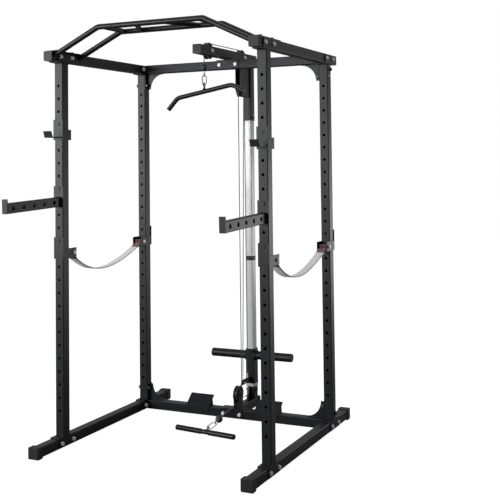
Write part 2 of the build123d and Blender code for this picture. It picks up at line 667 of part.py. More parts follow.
def lat_upper_frame():
    """The arm over the top crossmember, the head tube and the row pulley's bracket, welded."""
    arm = tube_y(0, ARM_MID, ARM_FRONT_Y, ARM_REAR_Y)
    for y in (FRONT_PULLEY_Y, REAR_PULLEY_Y):
        arm -= pulley_slot(y, PULLEY_R)
        arm -= axle_hole(y, ARM_MID)
    shape = arm + tower_saddle(TOP_MID)
    wall = (HEAD_SIDE - POST_SIDE) / 2 - POST_INSERT_GAP
    shape += tube_z(0, POST_Y, HEAD_Z0, ARM_Z0 + WELD, HEAD_SIDE, wall, TUBE_CORNER)
    inner = BRACKET_INNER / 2
    front = SMALL_PULLEY_Y - SMALL_PULLEY_R
    rear = POST_Y - HEAD_SIDE / 2 + WELD
    low = SMALL_PULLEY_Z - SMALL_PULLEY_R - BRACKET_MARGIN
    outline = [(front, low + SMALL_PULLEY_R), (front + SMALL_PULLEY_R * 0.6, low), (rear, low),
               (rear, ARM_Z0 + WELD), (front + SMALL_PULLEY_R * 0.3, ARM_Z0 + WELD),
               (front, ARM_Z0 - TUBE)]
    for x in (-inner - PLATE, inner):
        shape += plate_x(outline, x, PLATE)
    shape -= axle_hole(SMALL_PULLEY_Y, SMALL_PULLEY_Z)
    return drill(shape, tower_bolts() + post_bolts())


def lat_base_frame():
    """The lower bracket, base arm, post socket and low pulley bracket, welded."""
    arm_start = CROSS_FRONT + TUBE + PLATE - WELD
    shape = tube_y(0, BASE_MID, arm_start, BASE_ARM_END)
    shape += tower_saddle(BASE_MID)
    wall = (HEAD_SIDE - POST_SIDE) / 2 - POST_INSERT_GAP
    shape += tube_z(0, POST_Y, BASE_Z1 - WELD, SOCKET_Z1, HEAD_SIDE, wall, TUBE_CORNER)
    face = POST_Y - HEAD_SIDE / 2 + WELD
    shape += plate_x([(face - SOCKET_GUSSET_REACH, BASE_Z1 - WELD), (face, BASE_Z1 - WELD),
                      (face, SOCKET_Z1), (face - PLATE, SOCKET_Z1)], -PLATE / 2, PLATE)
    inner = BRACKET_INNER / 2
    reach = LOW_BRACKET_WIDTH / 2
    for x in (-inner - PLATE, inner):
        side_plate = plate_x([(LOW_PULLEY_Y - reach, BASE_Z1 + PLATE - WELD),
                              (LOW_PULLEY_Y + reach, BASE_Z1 + PLATE - WELD),
                              (LOW_PULLEY_Y + reach, LOW_PULLEY_Z), (LOW_PULLEY_Y - reach, LOW_PULLEY_Z)],
                             x, PLATE)
        crown = Pos(x + PLATE / 2, LOW_PULLEY_Y, LOW_PULLEY_Z) * Rot(Y=90) * Cylinder(reach, PLATE)
        foot = block(x, x + PLATE, CROSS_FRONT + TUBE, LOW_PULLEY_Y + reach, BASE_Z1 - WELD, BASE_Z1 + PLATE)
        shape += side_plate + crown + foot
    shape -= axle_hole(LOW_PULLEY_Y, LOW_PULLEY_Z)
    return drill(shape, tower_bolts() + post_bolts())


def guide_post(z0, z1):
    return drill(tube_z(0, POST_Y, z0, z1, POST_SIDE, TUBE_WALL, TUBE_CORNER), post_bolts())


def guide_post_lower():
    return guide_post(BASE_Z1 + FIT, POST_JOINT_Z - POST_JOINT_BAND / 2)


def guide_post_upper():
    return guide_post(POST_JOINT_Z + POST_JOINT_BAND / 2, HEAD_Z0 + 2 * HEAD_BOLT_ABOVE_END + HALF)


def guide_post_joiner():
    """A plug inside both halves of the post, with a flush band between their ends."""
    side = POST_SIDE - 2 * TUBE_WALL - 2 * END_CAP_GAP
    z0 = POST_JOINT_Z - POST_JOINT_BAND / 2
    band = extrude(RectangleRounded(POST_SIDE, POST_SIDE, TUBE_CORNER), POST_JOINT_BAND)
    bore = side - 2 * POST_SPIGOT_WALL
    length = POST_JOINT_BAND + 2 * POST_SPIGOT
    spigot = Pos(0, 0, -POST_SPIGOT) * extrude(RectangleRounded(side, side, PLUG_CORNER), length)
    core = Pos(0, 0, -POST_SPIGOT) * extrude(RectangleRounded(bore, bore, PLUG_CORNER), length)
    return Pos(0, POST_Y, z0) * (band + spigot - core)


def carriage_bumper():
    """A light rubber ring on top of the socket that the carriage comes down on."""
    ring = RectangleRounded(CARRIAGE_SIDE, CARRIAGE_SIDE, TUBE_CORNER) - RectangleRounded(
        POST_SIDE + 2 * FIT, POST_SIDE + 2 * FIT, TUBE_CORNER)
    return Pos(0, POST_Y, SOCKET_Z1) * extrude(ring, BUMPER_HEIGHT)


def pulley(y, z, radius):
    """A grooved wheel that turns about X on a ball bearing."""
    half = PULLEY_WIDTH / 2
    bore = BEARING_OUTER / 2 + RUNNING_GAP
    root = radius - PULLEY_GROOVE_DEPTH
    web = BEARING_WIDTH / 2
    edge = PULLEY_RIM_EDGE
    inner = root - edge
    outline = [(bore, -web), (inner - edge, -web), (inner, -half), (radius, -half),
               (radius, -half + edge), (root, -CABLE_R), (root, CABLE_R), (radius, half - edge),
               (radius, half), (inner, half), (inner - edge, web), (bore, web)]
    face = make_face(Polyline(*[(r, 0, w) for r, w in outline], close=True))
    return Pos(0, y, z) * Rot(Y=90) * revolve(face, Axis.Z)


def pulley_places():
    """Centre, rim radius and the half width of what carries the axle, for each pulley."""
    bracket = BRACKET_INNER / 2 + PLATE
    return [(FRONT_PULLEY_Y, ARM_MID, HALF), (REAR_PULLEY_Y, ARM_MID, HALF),
            (SMALL_PULLEY_Y, SMALL_PULLEY_Z, bracket), (LOW_PULLEY_Y, LOW_PULLEY_Z, bracket)]


def pulley_axles():
    """A bolt and nut through each pulley, head to the right."""
    axles = []
    for y, z, half in pulley_places():
        place = ((half, y, z), (-1, 0, 0), 2 * half)
        axles.append(bolt(*place))
    return axles


def pulley_nuts():
    return [nut((half, y, z), (-1, 0, 0), 2 * half) for y, z, half in pulley_places()]


def bearing(y, z, half):
    """A ball bearing with the spacer tubes that centre it between the walls."""
    inner_wall = half - (TUBE_WALL if half == HALF else PLATE)
    ring = Cylinder(BEARING_OUTER / 2, BEARING_WIDTH) + Cylinder(SPACER_DIAMETER / 2, 2 * inner_wall)
    return Pos(0, y, z) * Rot(Y=90) * (ring - Cylinder(BOLT_SHANK / 2 + RUNNING_GAP, 2 * TUBE))


def pulley_bearings():
    return [bearing(*place) for place in pulley_places()]


# ---------------------------------------------------------------- the weight carriage
def weight_carriage():
    """The sleeve that runs on the guide post, with its plate horns and cable tab."""
    x_face = CARRIAGE_SIDE / 2
    shape = tube_z(0, POST_Y, CARRIAGE_Z0, CARRIAGE_Z1, CARRIAGE_SIDE, CARRIAGE_WALL, TUBE_CORNER)
    for side in SIDES.values():
        horn = rod((side * (x_face - WELD), POST_Y, HORN_Z), (side * (x_face + HORN_LENGTH), POST_Y, HORN_Z),
                   HORN_DIAMETER / 2)
        horn -= rod((side * (x_face + HORN_FLANGE), POST_Y, HORN_Z),
                    (side * (x_face + HORN_LENGTH), POST_Y, HORN_Z), HORN_DIAMETER / 2 - HORN_WALL)
        flange = rod((side * (x_face - WELD), POST_Y, HORN_Z), (side * (x_face + HORN_FLANGE), POST_Y, HORN_Z),
                     min(HORN_FLANGE_DIAMETER / 2, HORN_BELOW_TOP))
        shape += horn + flange
    y_face = POST_Y - CARRIAGE_SIDE / 2 + WELD
    tip_drop = TAB_HEIGHT * 0.3
    tab = plate_x([(y_face, TAB_Z0), (y_face, TAB_Z1), (ROW_TAB_Y - FERRULE_DIAMETER, TAB_Z1),
                   (TAB_TIP_Y, TAB_Z1 - tip_drop), (TAB_TIP_Y, TAB_Z0)], -TAB_THICKNESS / 2, TAB_THICKNESS)
    return shape + tab - tab_hole()


def tab_hole_centre():
    """The hole in the tab that the carriage's own snap hook hangs in."""
    return TAB_TIP_Y + 3 * SNAP_WIRE, TAB_Z0 + SNAP_WIRE + 2


def tab_hole():
    y, z = tab_hole_centre()
    return rod((-TUBE, y, z), (TUBE, y, z), SNAP_R + 1.2)


def carriage_bushes():
    """Nylon frames in both ends of the sleeve; they slide on the post."""
    outer = CARRIAGE_SIDE - 2 * CARRIAGE_WALL
    inner = POST_SIDE + 2 * BUSH_GAP
    ring = RectangleRounded(outer, outer, TUBE_CORNER - CARRIAGE_WALL) - RectangleRounded(inner, inner, TUBE_CORNER)
    return [Pos(0, POST_Y, z) * extrude(ring, BUSH_HEIGHT)
            for z in (CARRIAGE_Z0, CARRIAGE_Z1 - BUSH_HEIGHT)]


def horn_caps():
    """Rounded plastic plugs in the outer ends of the plate horns."""
    caps = []
    for side in SIDES.values():
        x = side * (CARRIAGE_SIDE / 2 + HORN_LENGTH)
        disc = Cylinder(HORN_DIAMETER / 2, HORN_CAP, align=(Align.CENTER, Align.CENTER, Align.MIN))
        disc = fillet(disc.edges().group_by(Axis.Z)[-1], HORN_CAP * 0.8)
        plug = Cylinder(HORN_DIAMETER / 2 - HORN_WALL - END_CAP_GAP, END_CAP_PLUG,
                        align=(Align.CENTER, Align.CENTER, Align.MAX))
        caps.append(Plane(origin=(x, POST_Y, HORN_Z), z_dir=(side, 0, 0)) * (disc + plug))
    return caps


# ---------------------------------------------------------------- snap hooks, drawn in the XZ plane
def snap_gate_half(length, width):
    """Half the gate's length; it fills the straight side of the hook."""
    return (length - width) / 2 - SNAP_R - GATE_GAP - 1


def snap_hook(length, width):
    """The bent wire of a snap hook, centred, with the two cheeks that hold its gate."""
    u = width / 2 - SNAP_R
    v = length / 2 - SNAP_R
    gate = snap_gate_half(length, width)
    low_end = -gate - SNAP_R - GATE_GAP
    straight = v - u
    path = Wire([
        Edge.make_line((-u, 0, low_end), (-u, 0, -straight)),
        Edge.make_three_point_arc((-u, 0, -straight), (0, 0, -v), (u, 0, -straight)),
        Edge.make_line((u, 0, -straight), (u, 0, straight)),
        Edge.make_three_point_arc((u, 0, straight), (0, 0, v), (-u, 0, straight)),
        Edge.make_line((-u, 0, straight), (-u, 0, gate + GATE_GAP)),
    ])
    wire = sweep(Plane(origin=path @ 0, z_dir=path % 0) * Circle(SNAP_R), path=path)
    for step in (-1, 1):
        inner = SNAP_R + GATE_GAP / 2
        cheek = block(-u - SNAP_R, -u + SNAP_R, step * (inner - 1.2), step * (inner + GATE_CHEEK),
                      low_end - 5, low_end)
        ear = block(-u - SNAP_R, -u + SNAP_R, step * inner, step * (inner + GATE_CHEEK),
                    low_end - 5, -gate + SNAP_R)
        wire += cheek + ear
    reach = SNAP_R + GATE_GAP / 2 + GATE_CHEEK
    wire += rod((-u, -reach, -gate), (-u, reach, -gate), GATE_PIN / 2)
    return wire


def snap_gate(length, width):
    """The gate, closed; it turns on its pin at the lower end, towards the wire behind it."""
    u = width / 2 - SNAP_R
    gate = snap_gate_half(length, width)
    shape = rod((-u, 0, -gate), (-u, 0, gate), SNAP_R)
    shape += rod((-u, -SNAP_R, -gate), (-u, SNAP_R, -gate), SNAP_R)
    bore = rod((-u, -SNAP_WIRE, -gate), (-u, SNAP_WIRE, -gate), GATE_PIN / 2 + RUNNING_GAP)
    return shape - bore


# ---------------------------------------------------------------- what hangs on a cable end
def thimble_drop():
    """From the stopper's centre down to the centre of the thimble ring."""
    return STOPPER_DIAMETER / 2 + COLLAR_LENGTH + THIMBLE_RING / 2


def snap_drop(length):
    """From the stopper's centre down to the centre of the snap hook."""
    top_wire = thimble_drop() + THIMBLE_INNER - SNAP_R - FIT
    return top_wire + length / 2 - SNAP_R


def eye_drop(length):
    """From the stopper's centre down to the centre of the bar's eye ring."""
    bottom_wire = snap_drop(length) + length / 2 - SNAP_R
    return bottom_wire + EYE_INNER - SNAP_R - FIT


def bar_drop(length, bar_diameter):
    """From the stopper's centre down to the middle of the bar."""
    return eye_drop(length) + EYE_RING / 2 + EYE_NECK + bar_diameter / 2


def ring_about_x(z, centre_diameter, wire):
    return Pos(0, 0, z) * Rot(Y=90) * Torus(centre_diameter / 2, wire / 2)


def cable_end():
    """Rubber stopper ball, crimped collar and thimble ring, hanging below the origin."""
    ball = Sphere(STOPPER_DIAMETER / 2) - Cylinder(CABLE_R + 0.2, 2 * STOPPER_DIAMETER)
    collar_top = -STOPPER_DIAMETER / 2 + 1
    collar_low = -STOPPER_DIAMETER / 2 - COLLAR_LENGTH
    collar = rod((0, 0, collar_low - THIMBLE_WIRE / 2), (0, 0, collar_top), THIMBLE_WIRE)
    ring = ring_about_x(-thimble_drop(), THIMBLE_RING, THIMBLE_WIRE)
    return [ball - rod((0, 0, collar_low), (0, 0, collar_top), THIMBLE_WIRE), collar + ring]


def eye_and_neck(bar_radius):
    """The welded eye on top of a bar whose middle is at the origin."""
    neck = Pos(0, 0, bar_radius - 4) * Cone(bar_radius * 0.8, EYE_WIRE / 2, EYE_NECK + 4,
                                            align=(Align.CENTER, Align.CENTER, Align.MIN))
    ring = ring_about_x(bar_radius + EYE_NECK + EYE_RING / 2, EYE_RING, EYE_WIRE)
    return neck + ring


def lat_bar():
    """A short bar with drooping ends, hanging a little off level from its eye."""
    points = [(-LAT_BAR_END_X, 0, -LAT_BAR_END_DROP), (-LAT_BAR_BEND_X, 0, 0),
              (LAT_BAR_BEND_X, 0, 0), (LAT_BAR_END_X, 0, -LAT_BAR_END_DROP)]
    radius = LAT_BAR_DIAMETER / 2
    bar = Rot(Y=-LAT_BAR_TILT) * swept(points, BAR_BEND_RADIUS, radius)
    return bar + eye_and_neck(radius)


def row_bar():
    """A straight bar that lies on the floor: two grips on a slimmer middle."""
    radius = ROW_BAR_DIAMETER / 2
    half = ROW_BAR_LENGTH / 2
    bar = rod((-half + radius, 0, 0), (half - radius, 0, 0), ROW_BAR_NECK_DIAMETER / 2)
    for side in SIDES.values():
        grip = rod((side * ROW_BAR_NECK / 2, 0, 0), (side * half, 0, 0), radius)
        bar += fillet(grip.edges().filter_by(GeomType.CIRCLE), radius / 3)
    return bar


def row_slope():
    """The slope, in degrees, of the straight line from the low pulley's rim down to the bar."""
    run = LOW_PULLEY_Y - ROW_BAR_CENTRE_Y
    rise = LOW_PULLEY_Z - ROW_BAR_Z
    return degrees(atan2(rise, run) - asin(PULLEY_CABLE_R / hypot(run, rise)))


def row_point(distance):
    """A point on that line, counted from the middle of the bar."""
    angle = radians(row_slope())
    return 0, ROW_BAR_CENTRE_Y + distance * cos(angle), ROW_BAR_Z + distance * sin(angle)


def lat_placed(shape, drop=0.0):
    return Pos(0, LAT_DROP_Y, LAT_STOPPER_Z - drop) * shape


def row_placed(shape, drop=0.0):
    """Turn a hanging shape so that down becomes the pull direction of the row cable."""
    distance = bar_drop(ROW_SNAP_LENGTH, ROW_BAR_DIAMETER) - drop
    return Pos(*row_point(distance)) * Rot(X=row_slope() - 90) * shape


def tab_placed(shape):
    """The snap hook that hangs in the carriage's tab."""
    y, z = tab_hole_centre()
    return Pos(0, y, z - (CARRIAGE_SNAP_LENGTH / 2 - SNAP_R) + 1.2 - FIT) * shape


# ---------------------------------------------------------------- cables
def cable_sweep(edges):
    path = Wire(edges)
    return sweep(Plane(origin=path @ 0, z_dir=path % 0) * Circle(CABLE_R), path=path)


def lat_cable_run():
    """Over the two top pulleys: down at the front, level between, down at the rear."""
    z = ARM_MID
    top = z + PULLEY_CABLE_R
    diagonal = PULLEY_CABLE_R * sqrt(0.5)
    return cable_sweep([
        Edge.make_three_point_arc((0, LAT_DROP_Y, z), (0, FRONT_PULLEY_Y - diagonal, z + diagonal),
                                  (0, FRONT_PULLEY_Y, top)),
        Edge.make_line((0, FRONT_PULLEY_Y, top), (0, REAR_PULLEY_Y, top)),
        Edge.make_three_point_arc((0, REAR_PULLEY_Y, top), (0, REAR_PULLEY_Y + diagonal, z + diagonal),
                                  (0, LAT_LIFT_Y, z)),
    ])


def lat_cable_drop():
    return rod((0, LAT_DROP_Y, LAT_STOPPER_Z), (0, LAT_DROP_Y, ARM_MID), CABLE_R)


def lift_cable(y_tab, y_top, z_top):
    """A run up from the carriage's tab, with its crimped end."""
    start, end = Vector(0, y_tab, TAB_Z1), Vector(0, y_top, z_top)
    crimp = start + (end - start).normalized() * FERRULE_LENGTH
    cable = rod(start, end, CABLE_R) + rod(start, crimp, FERRULE_DIAMETER / 2)
    return cable - block(-TUBE, TUBE, y_tab - TUBE, y_tab + TUBE, TAB_Z1 - TUBE, TAB_Z1)


def row_leave():
    """Where the row cable leaves the low pulley towards the bar."""
    angle = radians(row_slope())
    return 0, LOW_PULLEY_Y + PULLEY_CABLE_R * sin(angle), LOW_PULLEY_Z - PULLEY_CABLE_R * cos(angle)


def row_cable_run():
    """Over the small pulley, down its front side and round under the low pulley."""
    middle = radians((90 - row_slope()) / 2)
    via = (0, LOW_PULLEY_Y + PULLEY_CABLE_R * cos(middle), LOW_PULLEY_Z - PULLEY_CABLE_R * sin(middle))
    return cable_sweep([
        Edge.make_three_point_arc((0, ROW_LIFT_Y, SMALL_PULLEY_Z),
                                  (0, SMALL_PULLEY_Y, SMALL_PULLEY_Z + SMALL_CABLE_R),
                                  (0, ROW_RISE_Y, SMALL_PULLEY_Z)),
        Edge.make_line((0, ROW_RISE_Y, SMALL_PULLEY_Z), (0, ROW_RISE_Y, LOW_PULLEY_Z)),
        Edge.make_three_point_arc((0, ROW_RISE_Y, LOW_PULLEY_Z), via, row_leave()),
    ])


def row_cable_front():
    """From the low pulley straight out to the stopper ball, which it only touches."""
    ball_face = bar_drop(ROW_SNAP_LENGTH, ROW_BAR_DIAMETER) + STOPPER_DIAMETER / 2 + FIT
    return rod(row_leave(), row_point(ball_face), CABLE_R)


# ---------------------------------------------------------------- hooks and arms on the front uprights
def hook_pin(z):
    """The stud that sits in an adjustment hole, with its flat head in front of the plate."""
    radius = HOLE_DIAMETER / 2 - PIN_GAP
    back = FRONT_FACE - FIT
    pin = rod((0, back - PLATE, z), (0, back + PIN_LENGTH, z), radius)
    return pin + rod((0, back - J_HOOK_PLATE - PIN_HEAD, z), (0, back - PLATE / 2, z), PIN_HEAD_DIAMETER / 2)


def j_hook(side, hole):
    """A bar hook: back plate with a stud, two cheeks round the upright, a ledge and a lip."""
    z = hole_z(hole)
    back = FRONT_FACE - FIT
    face = back - J_HOOK_PLATE
    inner = HALF + FIT
    outer = inner + PLATE
    ledge_top = z - J_HOOK_LEDGE_BELOW_PIN
    shape = block(-outer, outer, face, back, z - J_HOOK_BELOW_PIN, z + J_HOOK_ABOVE_PIN)
    for step in (-1, 1):
        shape += block(step * inner, step * outer, face, FRONT_FACE + TUBE + CHEEK_PAST_UPRIGHT,
                       z - J_HOOK_BELOW_PIN, z - J_HOOK_BELOW_PIN / 3)
    tip = face - J_HOOK_REACH
    profile = [(face + WELD, ledge_top), (tip + J_HOOK_PLATE, ledge_top),
               (tip - J_HOOK_LIP_LEAN + J_HOOK_PLATE, ledge_top + J_HOOK_LIP),
               (tip - J_HOOK_LIP_LEAN, ledge_top + J_HOOK_LIP), (tip, ledge_top - J_HOOK_PLATE),
               (face + WELD, ledge_top - J_HOOK_PLATE)]
    shape += plate_x(profile, -HALF + 1, TUBE - 2)
    return Pos(side * UPRIGHT_X, 0, 0) * (shape + hook_pin(z))


def drilled_arm():
    """The arm with its raised end stop, pointing forward from the origin."""
    half = SPOTTER_WIDTH / 2
    section = RectangleRounded(SPOTTER_WIDTH, TUBE, TUBE_CORNER) - RectangleRounded(
        SPOTTER_WIDTH - 2 * TUBE_WALL, TUBE - 2 * TUBE_WALL, TUBE_CORNER - TUBE_WALL)
    shape = Pos(0, -SPOTTER_LENGTH, 0) * Rot(X=-90) * extrude(section, SPOTTER_LENGTH + PLATE / 2)
    shape += block(-half, half, -SPOTTER_LENGTH - SPOTTER_STOP_PLATE, WELD - SPOTTER_LENGTH,
                   -HALF, HALF + SPOTTER_STOP_RISE)
    for i in range(SPOTTER_HOLE_COUNT):
        y = -SPOTTER_FIRST_HOLE - i * SPOTTER_HOLE_PITCH
        shape -= rod((-TUBE, y, 0), (TUBE, y, 0), SPOTTER_HOLE_DIAMETER / 2)
    return shape


def spotter_arm(side, hole):
    """A safety arm: mounting plate with a stud, and the arm welded on one hole lower."""
    z_pin = hole_z(hole)
    z_arm = hole_z(hole + 1)
    back = FRONT_FACE - FIT
    face = back - PLATE
    outer = HALF + FIT + PLATE
    shape = block(-outer, outer, face, back, z_arm - HALF, z_pin + SPOTTER_PLATE_ABOVE_PIN)
    shape += Pos(0, face, z_arm) * Rot(X=SPOTTER_DROOP) * drilled_arm()
    return Pos(side * UPRIGHT_X, 0, 0) * (shape + hook_pin(z_pin))


# ---------------------------------------------------------------- every node and its pieces
def row_eye():
    """The row bar with its eye; the eye points back along the cable."""
    radius = ROW_BAR_DIAMETER / 2
    bar = Pos(0, ROW_BAR_CENTRE_Y, ROW_BAR_Z) * Rot(Z=ROW_BAR_YAW) * row_bar()
    eye = row_placed(eye_and_neck(radius), bar_drop(ROW_SNAP_LENGTH, ROW_BAR_DIAMETER))
    return bar + eye


def build_nodes():
    nodes = {}
    for name, side in SIDES.items():
        nodes["base_rail_" + name] = base_rail(side)
        nodes["top_rail_" + name] = top_rail(side)
        nodes["upright_front_" + name] = upright(side, -1)
        nodes["upright_rear_" + name] = upright(side, 1)
        nodes["foot_plate_" + name] = foot_plate(side)
        nodes["strap_bracket_front_" + name] = strap_bracket(side, -1)
        nodes["strap_bracket_rear_" + name] = strap_bracket(side, 1)
        nodes["safety_strap_" + name] = safety_strap(side)
    nodes["base_feet"] = base_feet()
    nodes["tube_end_caps"] = tube_end_caps()
    nodes["rear_crossmember_top"] = rear_crossmember(TOP_MID, -1)
    nodes["rear_crossmember_bottom"] = rear_crossmember(BASE_MID, 1)
    nodes["pull_up_bar"] = pull_up_bar()
    nodes["frame_bolts"] = frame_bolts()
    nodes["frame_nuts"] = frame_nuts()
    nodes["strap_pins"] = strap_pins()
    nodes["lat_upper_frame"] = lat_upper_frame()
    nodes["lat_base_frame"] = lat_base_frame()
    nodes["guide_post_lower"] = guide_post_lower()
    nodes["guide_post_upper"] = guide_post_upper()
    nodes["guide_post_joiner"] = guide_post_joiner()
    nodes["carriage_bumper"] = carriage_bumper()
    nodes["pulley_axles"] = pulley_axles()
    nodes["pulley_nuts"] = pulley_nuts()
    nodes["pulley_bearings"] = pulley_bearings()
    nodes["pulley_front"] = pulley(FRONT_PULLEY_Y, ARM_MID, PULLEY_R)
    nodes["pulley_rear"] = pulley(REAR_PULLEY_Y, ARM_MID, PULLEY_R)
    nodes["pulley_row_upper"] = pulley(SMALL_PULLEY_Y, SMALL_PULLEY_Z, SMALL_PULLEY_R)
    nodes["pulley_row_low"] = pulley(LOW_PULLEY_Y, LOW_PULLEY_Z, PULLEY_R)
    nodes["weight_carriage"] = weight_carriage()
    nodes["carriage_bushes"] = carriage_bushes()
    nodes["horn_caps"] = horn_caps()
    nodes["carriage_snap_hook"] = tab_placed(snap_hook(CARRIAGE_SNAP_LENGTH, CARRIAGE_SNAP_WIDTH))
    nodes["carriage_snap_gate"] = tab_placed(snap_gate(CARRIAGE_SNAP_LENGTH, CARRIAGE_SNAP_WIDTH))
    nodes["lat_cable_run"] = lat_cable_run()
    nodes["lat_cable_drop"] = lat_cable_drop()
    nodes["lat_cable_lift"] = lift_cable(LAT_LIFT_Y, LAT_LIFT_Y, ARM_MID)
    nodes["row_cable_lift"] = lift_cable(ROW_TAB_Y, ROW_LIFT_Y, SMALL_PULLEY_Z)
    nodes["row_cable_run"] = row_cable_run()
    nodes["row_cable_front"] = row_cable_front()
    nodes["lat_cable_end"] = [lat_placed(piece) for piece in cable_end()]
    nodes["lat_snap_hook"] = lat_placed(snap_hook(LAT_SNAP_LENGTH, LAT_SNAP_WIDTH), snap_drop(LAT_SNAP_LENGTH))
    nodes["lat_snap_gate"] = lat_placed(snap_gate(LAT_SNAP_LENGTH, LAT_SNAP_WIDTH), snap_drop(LAT_SNAP_LENGTH))
    nodes["lat_bar"] = lat_placed(lat_bar(), bar_drop(LAT_SNAP_LENGTH, LAT_BAR_DIAMETER))
    nodes["row_cable_end"] = [row_placed(piece) for piece in cable_end()]
    nodes["row_snap_hook"] = row_placed(snap_hook(ROW_SNAP_LENGTH, ROW_SNAP_WIDTH), snap_drop(ROW_SNAP_LENGTH))
    nodes["row_snap_gate"] = row_placed(snap_gate(ROW_SNAP_LENGTH, ROW_SNAP_WIDTH), snap_drop(ROW_SNAP_LENGTH))
    nodes["row_bar"] = row_eye()
    nodes["j_hook_left"] = j_hook(-1, J_HOOK_HOLE_LEFT)
    nodes["j_hook_right"] = j_hook(1, J_HOOK_HOLE_RIGHT)
    nodes["spotter_arm_left"] = spotter_arm(-1, SPOTTER_PIN_HOLE_LEFT)
    nodes["spotter_arm_right"] = spotter_arm(1, SPOTTER_PIN_HOLE_RIGHT)
    return nodes


def write_node(name, pieces):
    """Write one STEP file: a single piece, or a group of separate solids."""
    if isinstance(pieces, list):
        placed = [TO_ORIGIN * solid for piece in pieces for solid in piece.solids()]
        shape = Compound(children=placed)
    else:
        shape = TO_ORIGIN * pieces
    export_step(shape, "parts/" + name + ".step")


def main():
    os.makedirs("parts", exist_ok=True)
    for name, pieces in build_nodes().items():
        write_node(name, pieces)


if __name__ == "__main__":
    main()
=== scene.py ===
import json
import math

import bmesh
import bpy
from mathutils import Matrix, Vector


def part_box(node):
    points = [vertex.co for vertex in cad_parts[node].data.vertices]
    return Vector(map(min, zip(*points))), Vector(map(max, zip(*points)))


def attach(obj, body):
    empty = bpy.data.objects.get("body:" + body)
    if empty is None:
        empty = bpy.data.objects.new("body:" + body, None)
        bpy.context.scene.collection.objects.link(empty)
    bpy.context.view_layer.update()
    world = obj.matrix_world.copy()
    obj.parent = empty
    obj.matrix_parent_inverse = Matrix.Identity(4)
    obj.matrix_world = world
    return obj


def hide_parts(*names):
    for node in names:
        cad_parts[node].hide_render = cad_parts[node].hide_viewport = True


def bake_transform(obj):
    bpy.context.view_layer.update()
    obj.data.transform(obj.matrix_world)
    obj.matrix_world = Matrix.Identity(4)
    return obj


# Power cage with a plate-loaded cable tower: materials, webbing, cables, weld beads, floor,
# light and camera. Metres, +Z up, the open front faces -Y.

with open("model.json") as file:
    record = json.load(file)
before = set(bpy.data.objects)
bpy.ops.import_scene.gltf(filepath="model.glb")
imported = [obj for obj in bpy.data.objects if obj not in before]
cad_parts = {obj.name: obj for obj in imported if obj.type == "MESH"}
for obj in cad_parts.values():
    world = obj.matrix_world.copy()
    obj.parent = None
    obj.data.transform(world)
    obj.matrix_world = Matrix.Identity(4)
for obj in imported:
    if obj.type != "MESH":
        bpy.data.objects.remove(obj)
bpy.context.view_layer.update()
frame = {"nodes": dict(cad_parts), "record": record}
NODES = frame["nodes"]
SLOT_OF = {entry["node"]: entry["material_slot"] for entry in frame["record"]["subparts"]}


# ---------------------------------------------------------------- node helpers
COLOR, FLOAT, VECTOR = "NodeSocketColor", "NodeSocketFloat", "NodeSocketVector"
FACTOR, MIX_A, MIX_B, MIX_RESULT = 0, 6, 7, 2      # sockets of a colour Mix node


def add(tree, kind, values=None, **settings):
    """A node with its settings and the values of its unlinked sockets."""
    node = tree.nodes.new(kind)
    for key, value in settings.items():
        setattr(node, key, value)
    for key, value in (values or {}).items():
        node.inputs[key].default_value = value
    return node


def link(tree, source, target):
    tree.links.new(source, target)


def shade(level, blue=0.0, alpha=1.0):
    """A grey with a touch of blue."""
    return (level * (1 - blue), level * (1 - blue * 0.4), level * (1 + blue), alpha)


def new_group(name, inputs, outputs):
    """A shader node group with named sockets; returns the tree and its two end nodes."""
    tree = bpy.data.node_groups.new(name, "ShaderNodeTree")
    for label, kind, value in inputs:
        socket = tree.interface.new_socket(label, in_out="INPUT", socket_type=kind)
        socket.default_value = value
    for label, kind in outputs:
        tree.interface.new_socket(label, in_out="OUTPUT", socket_type=kind)
    return tree, tree.nodes.new("NodeGroupInput"), tree.nodes.new("NodeGroupOutput")


BEVEL_SAMPLES = 4
GRAIN_DEPTH = 0.0004
WEAVE_DEPTH = 0.0005
RIB_SCALE = 260.0


